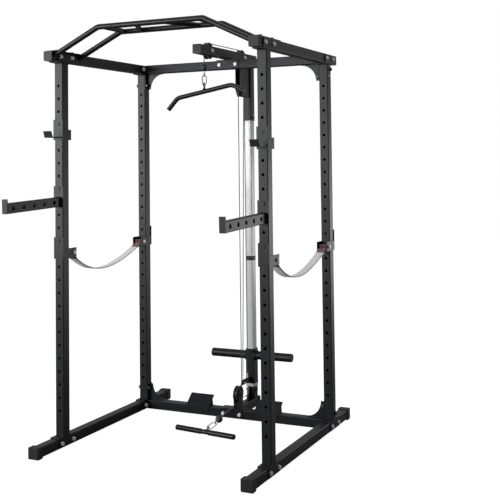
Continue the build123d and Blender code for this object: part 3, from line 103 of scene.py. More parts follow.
def grain_group():
    """Fine surface texture with a slow drift of tone and gloss, and softened edges."""
    tree, source, sink = new_group(
        "Surface Grain",
        [("Color", COLOR, shade(0.05)), ("Second Color", COLOR, shade(0.1)),
         ("Roughness", FLOAT, 0.4), ("Roughness Spread", FLOAT, 0.1),
         ("Grain Scale", FLOAT, 900.0), ("Grain Height", FLOAT, 0.15),
         ("Drift Scale", FLOAT, 3.0), ("Edge Radius", FLOAT, 0.0008)],
        [("Color", COLOR), ("Roughness", FLOAT), ("Normal", VECTOR)])
    coords = add(tree, "ShaderNodeTexCoord")
    grain = add(tree, "ShaderNodeTexNoise", {"Detail": 3.0, "Roughness": 0.6})
    drift = add(tree, "ShaderNodeTexNoise", {"Detail": 4.0, "Roughness": 0.55})
    link(tree, coords.outputs["Object"], grain.inputs["Vector"])
    link(tree, coords.outputs["Object"], drift.inputs["Vector"])
    link(tree, source.outputs["Grain Scale"], grain.inputs["Scale"])
    link(tree, source.outputs["Drift Scale"], drift.inputs["Scale"])
    mix = add(tree, "ShaderNodeMix", data_type="RGBA")
    link(tree, drift.outputs["Fac"], mix.inputs[FACTOR])
    link(tree, source.outputs["Color"], mix.inputs[MIX_A])
    link(tree, source.outputs["Second Color"], mix.inputs[MIX_B])
    centred = add(tree, "ShaderNodeMath", {1: 0.5}, operation="SUBTRACT")
    link(tree, drift.outputs["Fac"], centred.inputs[0])
    spread = add(tree, "ShaderNodeMath", operation="MULTIPLY_ADD")
    link(tree, centred.outputs[0], spread.inputs[0])
    link(tree, source.outputs["Roughness Spread"], spread.inputs[1])
    link(tree, source.outputs["Roughness"], spread.inputs[2])
    bevel = add(tree, "ShaderNodeBevel", samples=BEVEL_SAMPLES)
    link(tree, source.outputs["Edge Radius"], bevel.inputs["Radius"])
    bump = add(tree, "ShaderNodeBump", {"Distance": GRAIN_DEPTH})
    link(tree, source.outputs["Grain Height"], bump.inputs["Strength"])
    link(tree, grain.outputs["Fac"], bump.inputs["Height"])
    link(tree, bevel.outputs["Normal"], bump.inputs["Normal"])
    link(tree, mix.outputs[MIX_RESULT], sink.inputs["Color"])
    link(tree, spread.outputs[0], sink.inputs["Roughness"])
    link(tree, bump.outputs["Normal"], sink.inputs["Normal"])
    return tree


def weave_group():
    """Woven webbing: ribs where waves along and across the band meet, with painted shade darkening
    the grooves between them.
    """
    tree, source, sink = new_group(
        "Webbing Weave",
        [("Color", COLOR, shade(0.5)), ("Groove Shade Color", COLOR, shade(0.2)),
         ("Rib Scale", FLOAT, RIB_SCALE)],
        [("Color", COLOR), ("Height", FLOAT)])
    coords = add(tree, "ShaderNodeUVMap", uv_map="band")
    along = add(tree, "ShaderNodeTexWave", {"Distortion": 0.6, "Detail": 1.0},
                bands_direction="X")
    across = add(tree, "ShaderNodeTexWave", {"Distortion": 0.3, "Detail": 1.0},
                 bands_direction="DIAGONAL")
    for wave in (along, across):
        link(tree, coords.outputs["UV"], wave.inputs["Vector"])
        link(tree, source.outputs["Rib Scale"], wave.inputs["Scale"])
    height = add(tree, "ShaderNodeMath", operation="MULTIPLY")
    link(tree, along.outputs["Fac"], height.inputs[0])
    link(tree, across.outputs["Fac"], height.inputs[1])
    # the low places of the weave take the groove colour: painted shade in the grooves
    ramp = add(tree, "ShaderNodeMapRange", {"From Min": 0.0, "From Max": 0.35})
    link(tree, height.outputs[0], ramp.inputs["Value"])
    mix = add(tree, "ShaderNodeMix", data_type="RGBA")
    link(tree, ramp.outputs[0], mix.inputs[FACTOR])
    link(tree, source.outputs["Groove Shade Color"], mix.inputs[MIX_A])
    link(tree, source.outputs["Color"], mix.inputs[MIX_B])
    link(tree, mix.outputs[MIX_RESULT], sink.inputs["Color"])
    link(tree, height.outputs[0], sink.inputs["Height"])
    return tree


def box_group():
    """1 inside an axis-parallel box in the object's own coordinates, 0 outside it."""
    tree, source, sink = new_group(
        "Inside Box", [("Middle", VECTOR, (0, 0, 0)), ("Reach", VECTOR, (1, 1, 1))],
        [("Mask", FLOAT)])
    coords = add(tree, "ShaderNodeTexCoord")
    offset = add(tree, "ShaderNodeVectorMath", operation="SUBTRACT")
    link(tree, coords.outputs["Object"], offset.inputs[0])
    link(tree, source.outputs["Middle"], offset.inputs[1])
    distance = add(tree, "ShaderNodeVectorMath", operation="ABSOLUTE")
    link(tree, offset.outputs[0], distance.inputs[0])
    past = add(tree, "ShaderNodeVectorMath", operation="SUBTRACT")
    link(tree, distance.outputs[0], past.inputs[0])
    link(tree, source.outputs["Reach"], past.inputs[1])
    parts = add(tree, "ShaderNodeSeparateXYZ")
    link(tree, past.outputs[0], parts.inputs[0])
    wider = add(tree, "ShaderNodeMath", operation="MAXIMUM")
    link(tree, parts.outputs["X"], wider.inputs[0])
    link(tree, parts.outputs["Y"], wider.inputs[1])
    widest = add(tree, "ShaderNodeMath", operation="MAXIMUM")
    link(tree, wider.outputs[0], widest.inputs[0])
    link(tree, parts.outputs["Z"], widest.inputs[1])
    inside = add(tree, "ShaderNodeMath", {1: 0.0}, operation="LESS_THAN")
    link(tree, widest.outputs[0], inside.inputs[0])
    link(tree, inside.outputs[0], sink.inputs["Mask"])
    return tree


GRAIN = grain_group()
WEAVE = weave_group()
INSIDE_BOX = box_group()


def new_material(name):
    material = bpy.data.materials.new(name)
    material.use_nodes = True
    tree = material.node_tree
    tree.nodes.clear()
    shader = add(tree, "ShaderNodeBsdfPrincipled")
    output = add(tree, "ShaderNodeOutputMaterial")
    link(tree, shader.outputs["BSDF"], output.inputs["Surface"])
    return material, tree, shader


def add_grain(tree, shader, values):
    """The grain group, with its gloss and normal linked to the shader."""
    group = add(tree, "ShaderNodeGroup", values, node_tree=GRAIN)
    link(tree, group.outputs["Roughness"], shader.inputs["Roughness"])
    link(tree, group.outputs["Normal"], shader.inputs["Normal"])
    return group


def grained(name, color, second, roughness, spread=0.1, scale=900.0, height=0.15, drift=3.0,
            edge=0.0008, metallic=0.0, specular=0.5):
    """A material made from the grain group."""
    material, tree, shader = new_material(name)
    group = add_grain(tree, shader, {
        "Color": color, "Second Color": second, "Roughness": roughness,
        "Roughness Spread": spread, "Grain Scale": scale, "Grain Height": height,
        "Drift Scale": drift, "Edge Radius": edge})
    link(tree, group.outputs["Color"], shader.inputs["Base Color"])
    shader.inputs["Metallic"].default_value = metallic
    shader.inputs["Specular IOR Level"].default_value = specular
    return material


def webbing(name, color, groove_shade):
    """A material made from the weave group."""
    material, tree, shader = new_material(name)
    group = add(tree, "ShaderNodeGroup", {"Color": color, "Groove Shade Color": groove_shade},
                node_tree=WEAVE)
    bump = add(tree, "ShaderNodeBump", {"Strength": 0.5, "Distance": WEAVE_DEPTH})
    link(tree, group.outputs["Color"], shader.inputs["Base Color"])
    link(tree, group.outputs["Height"], bump.inputs["Height"])
    link(tree, bump.outputs["Normal"], shader.inputs["Normal"])
    shader.inputs["Roughness"].default_value = 0.85
    shader.inputs["Sheen Weight"].default_value = 0.25
    return material


# ---------------------------------------------------------------- materials
BLACK_COAT = grained("black powder coat", shade(0.0035, 0.10), shade(0.006, 0.14), 0.42,
                     spread=0.06, scale=1100, height=0.04, drift=2.2, specular=0.18)
BAR_COAT = grained("smooth black coat", shade(0.003, 0.05), shade(0.005, 0.06), 0.38,
                   spread=0.08, scale=700, height=0.05, drift=5.0, specular=0.18)
ZINC_METALLIC = 0.25
ZINC_LOOK = {"color": shade(0.52, 0.02), "second": shade(0.60), "roughness": 0.42,
             "spread": 0.10, "scale": 500, "height": 0.05, "drift": 30.0, "edge": 0.0004}
ZINC = grained("zinc plating", metallic=ZINC_METALLIC, **ZINC_LOOK)
# one plated wire painted at two levels: this darker copy is painted shade for the lat hook against
# the pale ground, and the lighter copy below is painted lit for the hooks seen against dark parts
WIRE = grained("plated wire", shade(0.30, 0.02), shade(0.36), 0.34, spread=0.08, scale=500,
               height=0.02, drift=30.0, edge=0.0003, metallic=0.10, specular=0.3)
LIT_WIRE = grained("plated wire painted lit", shade(0.72, 0.01), shade(0.78), 0.34,
                      spread=0.08, scale=500, height=0.02, drift=30.0, edge=0.0003,
                      metallic=0.10, specular=0.3)
CHROME = grained("chrome plating", shade(0.42), shade(0.46), 0.28, spread=0.03, scale=200,
                 height=0.0, drift=6.0, edge=0.0006, metallic=0.12, specular=0.15)
PLASTIC = grained("black plastic", shade(0.008), shade(0.012), 0.5, scale=1500, height=0.2,
                  drift=8.0, specular=0.2)
NYLON = grained("black nylon", shade(0.008), shade(0.012), 0.38, scale=800, height=0.08,
                drift=10.0, edge=0.0005, specular=0.25)
BUMPER = grained("grey rubber", shade(0.30), shade(0.36), 0.6, height=0.1, drift=12.0)
RUBBER = grained("black rubber", shade(0.010), shade(0.016), 0.6, drift=12.0)
CABLE = grained("cable coating", shade(0.02), shade(0.03), 0.35, spread=0.05, scale=600,
                height=0.05, drift=20.0, edge=0.0002)
# the second colour of each webbing is painted shade for the grooves of its weave
BAND = webbing("grey webbing", (0.62, 0.60, 0.56, 1), (0.46, 0.44, 0.41, 1))
SLEEVE_RED = webbing("dark red webbing", (0.085, 0.010, 0.014, 1), (0.045, 0.006, 0.009, 1))
SLEEVE_BLACK = webbing("black webbing", (0.014, 0.014, 0.015, 1), (0.007, 0.007, 0.008, 1))
THREAD = grained("sewing thread", (0.35, 0.33, 0.31, 1), (0.45, 0.43, 0.41, 1), 0.7,
                 scale=2000, height=0.3, drift=40.0, edge=0.0002)
BLACK_OXIDE = shade(0.016)
BALL_COLOR, BALL_ROUGHNESS = shade(0.012), 0.55
CRIMP_COLOR, CRIMP_ROUGHNESS = shade(0.42), 0.22

SLOT_MATERIALS = {
    "frame_steel": BLACK_COAT, "bar_steel": BAR_COAT, "zinc": ZINC, "post_chrome": CHROME,
    "cap_plastic": PLASTIC, "pulley_nylon": NYLON, "bush_nylon": NYLON,
    "bumper_rubber": BUMPER, "ball_rubber": RUBBER, "cable_coat": CABLE, "webbing": BAND,
}


def partly_black(name, boxes):
    """Zinc plating, with black oxide on the fasteners whose middle and reach are given."""
    material, tree, shader = new_material(name)
    group = add_grain(tree, shader, {
        "Color": ZINC_LOOK["color"], "Second Color": ZINC_LOOK["second"],
        "Roughness": ZINC_LOOK["roughness"], "Roughness Spread": ZINC_LOOK["spread"],
        "Grain Scale": ZINC_LOOK["scale"], "Grain Height": ZINC_LOOK["height"],
        "Drift Scale": ZINC_LOOK["drift"], "Edge Radius": ZINC_LOOK["edge"]})
    mask = None
    for middle, reach in boxes:
        inside = add(tree, "ShaderNodeGroup", {"Middle": middle, "Reach": reach},
                     node_tree=INSIDE_BOX)
        if mask is None:
            mask = inside.outputs["Mask"]
        else:
            either = add(tree, "ShaderNodeMath", operation="MAXIMUM")
            link(tree, mask, either.inputs[0])
            link(tree, inside.outputs["Mask"], either.inputs[1])
            mask = either.outputs[0]
    tint = add(tree, "ShaderNodeMix", {MIX_B: BLACK_OXIDE}, data_type="RGBA")
    link(tree, mask, tint.inputs[FACTOR])
    link(tree, group.outputs["Color"], tint.inputs[MIX_A])
    metal = add(tree, "ShaderNodeMath", {1: -ZINC_METALLIC, 2: ZINC_METALLIC},
                operation="MULTIPLY_ADD")
    link(tree, mask, metal.inputs[0])
    link(tree, tint.outputs[MIX_RESULT], shader.inputs["Base Color"])
    link(tree, metal.outputs[0], shader.inputs["Metallic"])
    return material


def ball_and_crimp(name, middle, radius):
    """Rubber inside a sphere round the ball's middle, plated metal outside it."""
    material, tree, shader = new_material(name)
    coords = add(tree, "ShaderNodeTexCoord")
    distance = add(tree, "ShaderNodeVectorMath", {1: middle}, operation="DISTANCE")
    link(tree, coords.outputs["Object"], distance.inputs[0])
    outside = add(tree, "ShaderNodeMath", {1: radius}, operation="GREATER_THAN")
    link(tree, distance.outputs["Value"], outside.inputs[0])
    for socket, low, high in (("Roughness", BALL_ROUGHNESS, CRIMP_ROUGHNESS),
                              ("Metallic", 0.0, 1.0)):
        blend = add(tree, "ShaderNodeMapRange", {"To Min": low, "To Max": high})
        link(tree, outside.outputs[0], blend.inputs["Value"])
        link(tree, blend.outputs[0], shader.inputs[socket])
    mix = add(tree, "ShaderNodeMix", {MIX_A: BALL_COLOR, MIX_B: CRIMP_COLOR},
              data_type="RGBA")
    link(tree, outside.outputs[0], mix.inputs[FACTOR])
    link(tree, mix.outputs[MIX_RESULT], shader.inputs["Base Color"])
    return material


def paint(obj, material):
    obj.data.materials.clear()
    obj.data.materials.append(material)


# ---------------------------------------------------------------- places taken from the CAD nodes
def corners(name):
    """The low and the high corner of a node's box."""
    low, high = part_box(name)
    return Vector(low), Vector(high)


def centre(name):
    low, high = corners(name)
    return (low + high) / 2


def size(name):
    low, high = corners(name)
    return high - low


CABLE_BELOW_RIM = 0.003
CABLE_R = size("lat_cable_drop").x / 2
PULLEY_CABLE_R = size("pulley_front").z / 2 - CABLE_BELOW_RIM
SMALL_CABLE_R = size("pulley_row_upper").z / 2 - CABLE_BELOW_RIM
BALL_R = size("lat_cable_end").x / 2
RUBBER_R = BALL_R * 1.02
lat_end_high = corners("lat_cable_end")[1]
LAT_BALL = Vector((0, centre("lat_cable_end").y, lat_end_high.z - BALL_R))
row_end_high = corners("row_cable_end")[1]
ROW_BALL = Vector((0, row_end_high.y - BALL_R, row_end_high.z - BALL_R))

WIDE = 2.0                       # reaches past the cage on every side
POST_BOLTS_REACH = (0.1, 0.05, 1.7)
LOW_BOLTS_Z, LOW_BOLTS_REACH = 0.3, 0.24
GUSSET_BOLTS_BELOW, GUSSET_BOLTS_REACH = 0.099, 0.03
ROW_PULLEY_REACH = (0.1, 0.06, 0.06)
post_y = centre("guide_post_lower").y
top_of_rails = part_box("top_rail_left")[1][2]
black_fasteners = [
    ((0, 0, top_of_rails + WIDE), (WIDE, WIDE, WIDE)),
    ((0, post_y, 0), POST_BOLTS_REACH),
    ((0, 0, LOW_BOLTS_Z), (WIDE, WIDE, LOW_BOLTS_REACH)),
    ((0, 0, top_of_rails - GUSSET_BOLTS_BELOW), (WIDE, WIDE, GUSSET_BOLTS_REACH)),
]
row_pulleys = [(tuple(centre(name)), ROW_PULLEY_REACH)
               for name in ("pulley_row_upper", "pulley_row_low")]

for name, node in NODES.items():
    paint(node, SLOT_MATERIALS[SLOT_OF[name]])
# the carriage and row hooks take the painted lit copy of the plated wire, the lat hook the darker
# painted shaded copy
for name in ("carriage_snap_hook", "carriage_snap_gate", "row_snap_hook", "row_snap_gate"):
    paint(NODES[name], LIT_WIRE)
for name in ("lat_snap_hook", "lat_snap_gate"):
    paint(NODES[name], WIRE)
for name in ("frame_bolts", "frame_nuts"):
    paint(NODES[name], partly_black(name + " finish", black_fasteners))
for name in ("pulley_axles", "pulley_nuts"):
    paint(NODES[name], partly_black(name + " finish", row_pulleys))
for name, spot in (("lat_cable_end", LAT_BALL), ("row_cable_end", ROW_BALL)):
    paint(NODES[name], ball_and_crimp(name + " finish", spot, RUBBER_R))


# ---------------------------------------------------------------- meshes
def new_object(name, data):
    obj = bpy.data.objects.new(name, data)
    bpy.context.scene.collection.objects.link(obj)
    return obj


def mesh_object(name, verts, faces, material):
    mesh = bpy.data.meshes.new(name)
    mesh.from_pydata([tuple(v) for v in verts], [], faces)
    mesh.validate()
    mesh.shade_smooth()
    obj = new_object(name, mesh)
    paint(obj, material)
    return obj


def outward(obj):
    """Make the faces of a closed mesh point outwards."""
    work = bmesh.new()
    work.from_mesh(obj.data)
    bmesh.ops.recalc_face_normals(work, faces=work.faces)
    work.to_mesh(obj.data)
    work.free()


def ring_faces(rings, sides, closed=False):
    """Faces between rings of vertices, with both ends capped unless they join."""
    faces = []
    for i in range(rings if closed else rings - 1):
        j = (i + 1) % rings
        for k in range(sides):
            m = (k + 1) % sides
            faces.append((i * sides + k, i * sides + m, j * sides + m, j * sides + k))
    if not closed:
        faces.append(tuple(reversed(range(sides))))
        faces.append(tuple((rings - 1) * sides + k for k in range(sides)))
    return faces


def turns(steps):
    """Evenly spaced angles of a full turn."""
    return [2 * math.pi * k / steps for k in range(steps)]


# ---------------------------------------------------------------- moving cables
CABLE_SIDES = 16
CABLE_RINGS = 60


def moving_cable(name, start, end, node):
    """A taut run from the frame at start to a moving body at end."""
    last = CABLE_RINGS - 1
    points = [start.lerp(end, i / last) for i in range(CABLE_RINGS)]
    side = Vector((1, 0, 0))
    verts = []
    for i, point in enumerate(points):
        along = (points[min(i + 1, last)] - points[max(i - 1, 0)]).normalized()
        up = along.cross(side).normalized()
        for angle in turns(CABLE_SIDES):
            verts.append(point + CABLE_R * (math.cos(angle) * side + math.sin(angle) * up))
    cable = mesh_object(name, verts, ring_faces(CABLE_RINGS, CABLE_SIDES), CABLE)
    outward(cable)
    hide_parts(node)
    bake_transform(cable)


FERRULE_R = 0.0036
FERRULE_NECK_R = 0.0032
FERRULE_MOUTH_R = 0.003
FERRULE_LENGTH = 0.026
FERRULE_SIDES = 20
FRONT_BOX_TILT_Y = 0.0008        # by how much the tilted run's box is longer than the run
FRONT_BOX_TILT_Z = 2 * CABLE_R * 0.98
CABLE_INTO_BALL = 0.6            # share of the ball's radius

drop_low, drop_high = corners("lat_cable_drop")
moving_cable("lat_drop_cable", Vector((0, LAT_BALL.y, drop_high.z)),
             Vector((0, LAT_BALL.y, drop_low.z)), "lat_cable_drop")
lat_lift_low, lat_lift_high = corners("lat_cable_lift")
LAT_LIFT_Y = (lat_lift_low.y + lat_lift_high.y) / 2
moving_cable("lat_lift_cable", Vector((0, LAT_LIFT_Y, lat_lift_high.z)),
             Vector((0, LAT_LIFT_Y, lat_lift_low.z)), "lat_cable_lift")
row_lift_low, row_lift_high = corners("row_cable_lift")
ROW_TAB_Y = row_lift_low.y + FERRULE_R
ROW_LIFT_Y = centre("pulley_row_upper").y + SMALL_CABLE_R
moving_cable("row_lift_cable", Vector((0, ROW_LIFT_Y, row_lift_high.z)),
             Vector((0, ROW_TAB_Y, row_lift_low.z)), "row_cable_lift")
front_low, front_high = corners("row_cable_front")
ROW_SLOPE = math.atan2(front_high.z - front_low.z - FRONT_BOX_TILT_Z,
                       front_high.y - front_low.y - FRONT_BOX_TILT_Y)
ROW_DIR = Vector((0, math.cos(ROW_SLOPE), math.sin(ROW_SLOPE)))
low_pulley = centre("pulley_row_low")
row_leave = low_pulley + PULLEY_CABLE_R * Vector((0, math.sin(ROW_SLOPE), -math.cos(ROW_SLOPE)))
moving_cable("row_front_cable", row_leave, ROW_BALL + ROW_DIR * BALL_R * CABLE_INTO_BALL,
             "row_cable_front")

# crimped ferrules on the carriage's tab, riding with it: distance along, radius
FERRULE_PROFILE = [
    (0.0, FERRULE_R), (0.002, FERRULE_R), (0.003, FERRULE_NECK_R), (0.008, FERRULE_NECK_R),
    (0.009, FERRULE_R), (0.014, FERRULE_R), (0.015, FERRULE_NECK_R), (0.020, FERRULE_NECK_R),
    (0.021, FERRULE_R), (0.0245, FERRULE_R), (FERRULE_LENGTH, FERRULE_MOUTH_R)]
tab_z = lat_lift_low.z
row_lean = (ROW_LIFT_Y - ROW_TAB_Y) / (row_lift_high.z - tab_z)
for name, y, lean in (("lat_ferrule", LAT_LIFT_Y, 0.0), ("row_ferrule", ROW_TAB_Y, row_lean)):
    foot = Vector((0, y, tab_z))
    head = Vector((0, y + lean * FERRULE_LENGTH, tab_z + FERRULE_LENGTH))
    direction = (head - foot).normalized()
    verts = []
    for along, radius in FERRULE_PROFILE:
        for angle in turns(FERRULE_SIDES):
            verts.append(foot + direction * along
                         + Vector((math.cos(angle), math.sin(angle), 0)) * radius)
    ferrule = mesh_object(name, verts, ring_faces(len(FERRULE_PROFILE), FERRULE_SIDES), ZINC)
    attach(ferrule, "carriage")


# ---------------------------------------------------------------- safety straps
STRAP_T = 0.0048             # two plies of webbing
STRAP_SKEW = 0.35            # the stiff sewn rear end moves the low point forward
STRAP_RINGS = 90
SELVEDGE_R = 0.0016
LOOP_INNER_R = 0.0063        # round the pin, with a little play
LOOP_OUTER_R = 0.0113        # of the CAD's loop
LOOP_STEPS = 36
LOOP_T = STRAP_T * 0.96
LOOP_NARROWER = 0.0006
SLEEVE_T = 0.0016            # both faces together
SLEEVE_WIDER = 0.0004
SLEEVE_START = 0.004         # counted along the band from the pin
SLEEVE_FRONT = 0.050
SLEEVE_REAR = 0.058
STITCHES_START = 0.006       # counted from the sleeve's end
STITCHES_END = 0.045
STITCH_ROWS = (-0.4, -0.2, 0.0, 0.2, 0.4)    # shares of the band's width
STITCH_PITCH, STITCH_LENGTH, THREAD_R = 0.0034, 0.0024, 0.0004
THREAD_ABOVE = 0.0002


def ribbon(name, path, x_mid, width, thickness, material, closed=False):
    """A flat band along a path in the YZ plane, with rounded selvedges and its own UV map."""
    half_w, half_t = width / 2, thickness / 2
    edge = min(half_t, SELVEDGE_R)
    section = [(-half_w, -half_t + edge), (-half_w + edge, -half_t), (-half_w * 0.5, -half_t),
               (0, -half_t), (half_w * 0.5, -half_t), (half_w - edge, -half_t),
               (half_w, -half_t + edge), (half_w, half_t - edge), (half_w - edge, half_t),
               (half_w * 0.5, half_t), (0, half_t), (-half_w * 0.5, half_t),
               (-half_w + edge, half_t), (-half_w, half_t - edge)]
    count, rings = len(section), len(path)
    verts, along = [], [0.0]
    for i, point in enumerate(path):
        if i:
            along.append(along[-1] + (point - path[i - 1]).length)
        before = path[(i - 1) % rings] if closed else path[max(i - 1, 0)]
        after = path[(i + 1) % rings] if closed else path[min(i + 1, rings - 1)]
        direction = (after - before).normalized()
        normal = Vector((0, -direction.z, direction.y))
        for across, up in section:
            verts.append(point + Vector((x_mid + across, 0, 0)) + normal * up)
    obj = mesh_object(name, verts, ring_faces(rings, count, closed), material)
    outward(obj)
    layer = obj.data.uv_layers.new(name="band")
    for loop in obj.data.loops:
        ring, k = divmod(loop.vertex_index, count)
        layer.data[loop.index].uv = (along[ring], section[k][0])
    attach(obj, "frame")
    return obj


def strap_line(y0, y1, z_top, lowest):
    """The hanging line of a strap."""
    steps = [2 * i / (STRAP_RINGS - 1) - 1 for i in range(STRAP_RINGS)]
    shape = [(1 - t * t) * (1 - STRAP_SKEW * t) for t in steps]
    sag = lowest / max(shape)
    return [Vector((0, (y0 + y1) / 2 + (y1 - y0) / 2 * t, z_top - sag * drop))
            for t, drop in zip(steps, shape)]


def part_of(path, start, end):
    """The stretch of a path between two distances from its beginning."""
    picked, gone = [], 0.0
    for i, point in enumerate(path):
        if i:
            gone += (point - path[i - 1]).length
        if start <= gone <= end:
            picked.append(point)
    return picked


def stitch_group():
    """Rows of short rounded grains along polylines, as a geometry node group."""
    tree = bpy.data.node_groups.new("Stitch Rows", "GeometryNodeTree")
    tree.interface.new_socket("Geometry", in_out="INPUT", socket_type="NodeSocketGeometry")
    for label in ("Pitch", "Stitch Length", "Thread Radius"):
        tree.interface.new_socket(label, in_out="INPUT", socket_type="NodeSocketFloat")
    tree.interface.new_socket("Material", in_out="INPUT", socket_type="NodeSocketMaterial")
    tree.interface.new_socket("Geometry", in_out="OUTPUT", socket_type="NodeSocketGeometry")
    source, sink = tree.nodes.new("NodeGroupInput"), tree.nodes.new("NodeGroupOutput")
    curve = add(tree, "GeometryNodeMeshToCurve")
    link(tree, source.outputs["Geometry"], curve.inputs["Mesh"])
    spaced = add(tree, "GeometryNodeResampleCurve", mode="LENGTH")
    link(tree, curve.outputs["Curve"], spaced.inputs["Curve"])
    link(tree, source.outputs["Pitch"], spaced.inputs["Length"])
    points = add(tree, "GeometryNodeCurveToPoints", mode="EVALUATED")
    link(tree, spaced.outputs["Curve"], points.inputs["Curve"])
    ball = add(tree, "GeometryNodeMeshUVSphere", {"Segments": 8, "Rings": 6, "Radius": 1.0})
    stretch = add(tree, "ShaderNodeCombineXYZ")
    half = add(tree, "ShaderNodeMath", {1: 0.5}, operation="MULTIPLY")
    link(tree, source.outputs["Stitch Length"], half.inputs[0])
    link(tree, source.outputs["Thread Radius"], stretch.inputs["X"])
    link(tree, source.outputs["Thread Radius"], stretch.inputs["Y"])
    link(tree, half.outputs[0], stretch.inputs["Z"])
    place = add(tree, "GeometryNodeInstanceOnPoints")
    link(tree, points.outputs["Points"], place.inputs["Points"])
    link(tree, points.outputs["Rotation"], place.inputs["Rotation"])
    link(tree, ball.outputs["Mesh"], place.inputs["Instance"])
    link(tree, stretch.outputs["Vector"], place.inputs["Scale"])
    real = add(tree, "GeometryNodeRealizeInstances")
    link(tree, place.outputs["Instances"], real.inputs["Geometry"])
    skin = add(tree, "GeometryNodeSetMaterial")
    link(tree, real.outputs["Geometry"], skin.inputs["Geometry"])
    link(tree, source.outputs["Material"], skin.inputs["Material"])
    link(tree, skin.outputs["Geometry"], sink.inputs["Geometry"])
    return tree


STITCHES = stitch_group()


def along_paths(name, paths, pitch, length, radius, material, body):
    """Beads or stitches along polylines, made with the geometry nodes and kept as a mesh."""
    verts, edges = [], []
    for path in paths:
        first = len(verts)
        verts += [tuple(p) for p in path]
        edges += [(first + i, first + i + 1) for i in range(len(path) - 1)]
    mesh = bpy.data.meshes.new(name + " paths")
    mesh.from_pydata(verts, edges, [])
    guide = new_object(name + " guide", mesh)
    modifier = guide.modifiers.new("rows", "NODES")
    modifier.node_group = STITCHES
    values = {"Pitch": pitch, "Stitch Length": length, "Thread Radius": radius,
              "Material": material}
    for item in STITCHES.interface.items_tree:
        if item.in_out == "INPUT" and item.name in values:
            modifier[item.identifier] = values[item.name]
    bpy.context.view_layer.update()
    evaluated = guide.evaluated_get(bpy.context.evaluated_depsgraph_get())
    baked = bpy.data.meshes.new_from_object(evaluated)
    baked.name = name
    baked.shade_smooth()
    obj = new_object(name, baked)
    bpy.data.objects.remove(guide)
    paint(obj, material)
    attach(obj, body)
    return obj


def build_strap(node):
    """Two plies of webbing hung between loops round both pins, with sleeves and stitches."""
    low, high = corners(node)
    x_mid = (low.x + high.x) / 2
    width = high.x - low.x
    loop_r = LOOP_INNER_R + STRAP_T / 2
    pin_z = high.z - LOOP_OUTER_R
    front_y, rear_y = low.y + LOOP_OUTER_R, high.y - LOOP_OUTER_R
    sag = pin_z - loop_r - low.z - STRAP_T / 2
    path = strap_line(front_y, rear_y, pin_z - loop_r, sag)
    band = ribbon(node + "_webbing", path, x_mid, width, STRAP_T, BAND)
    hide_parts(node)
    pieces = []
    for end, y, material in (("front", front_y, SLEEVE_BLACK), ("rear", rear_y, SLEEVE_RED)):
        ring = [Vector((0, y + loop_r * math.sin(a), pin_z - loop_r * math.cos(a)))
                for a in turns(LOOP_STEPS)]
        pieces.append(ribbon(node + "_loop_" + end, ring, x_mid, width - LOOP_NARROWER,
                             LOOP_T, material, closed=True))
    total = sum((b - a).length for a, b in zip(path, path[1:]))
    rear_start = total - SLEEVE_REAR
    for end, material, start, finish in (
            ("front", SLEEVE_BLACK, SLEEVE_START, SLEEVE_FRONT),
            ("rear", SLEEVE_RED, rear_start, total - SLEEVE_START)):
        pieces.append(ribbon(node + "_sleeve_" + end, part_of(path, start, finish), x_mid,
                             width + SLEEVE_WIDER, STRAP_T + SLEEVE_T, material))
    rows = []
    top = STRAP_T / 2 + THREAD_ABOVE
    for begin, finish in ((SLEEVE_FRONT + STITCHES_START, SLEEVE_FRONT + STITCHES_END),
                          (rear_start - STITCHES_END, rear_start - STITCHES_START)):
        patch = part_of(path, begin, finish)
        for across in STITCH_ROWS:
            for face in (-1, 1):
                rows.append([p + Vector((x_mid + across * width, 0, face * top))
                             for p in patch])
    pieces.append(along_paths(node + "_stitches", rows, STITCH_PITCH, STITCH_LENGTH, THREAD_R,
                              THREAD, "frame"))
    return band, pieces, total


for side_name in ("left", "right"):
    band, strap_pieces, length = build_strap("safety_strap_" + side_name)


# ---------------------------------------------------------------- weld beads
BEAD_PITCH, BEAD_LENGTH = 0.0024, 0.0038
FRAME_BEAD_R = 0.0022
BEAD_R = 0.002
CORNER_R = 0.005
CORNER_STEPS = 4
RING_STEPS = 32
SADDLE_BEAD_OFF = 0.0045         # from the rail's face to the bead's middle
POST_BEAD_RISE = 0.0006


def weld(name, loops, radius, body):
    along_paths(name, loops, BEAD_PITCH, BEAD_LENGTH, radius, BLACK_COAT, body)


def square_loop(middle, half_x, half_y, z):
    """A horizontal loop round a rectangular tube."""
    points = []
    for k, (sx, sy) in enumerate(((1, 1), (-1, 1), (-1, -1), (1, -1))):
        for j in range(CORNER_STEPS + 1):
            angle = math.pi / 2 * (k + j / CORNER_STEPS)
            points.append(Vector((middle.x + sx * (half_x - CORNER_R) + CORNER_R * math.cos(angle),
                                  middle.y + sy * (half_y - CORNER_R) + CORNER_R * math.sin(angle),
                                  z)))
    return points + [points[0]]


def ring_x(x, y, z, radius):
    """A loop round a bar that runs along X."""
    return [Vector((x, y + radius * math.cos(a), z + radius * math.sin(a)))
            for a in (2 * math.pi * k / RING_STEPS for k in range(RING_STEPS + 1))]


HALF = size("base_rail_left").x / 2
base_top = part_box("base_rail_left")[1][2]
top_rail_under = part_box("top_rail_left")[0][2]
frame_beads = []
for name in ("upright_front_left", "upright_front_right", "upright_rear_left",
             "upright_rear_right"):
    for z in (base_top + SADDLE_BEAD_OFF, top_rail_under - SADDLE_BEAD_OFF):
        frame_beads.append(square_loop(centre(name), HALF, HALF, z))
frame_beads.append(square_loop(centre("guide_post_lower"), HALF, HALF,
                               base_top + POST_BEAD_RISE))
weld("frame_weld_beads", frame_beads, FRAME_BEAD_R, "frame")

horn = centre("horn_caps")
HORN_R = size("horn_caps").z / 2
HORN_FLANGE = 0.008
flange_face = size("carriage_bumper").x / 2 + HORN_FLANGE
weld("carriage_weld_beads",
     [ring_x(side * flange_face, horn.y, horn.z, HORN_R) for side in (-1, 1)],
     BEAD_R, "carriage")

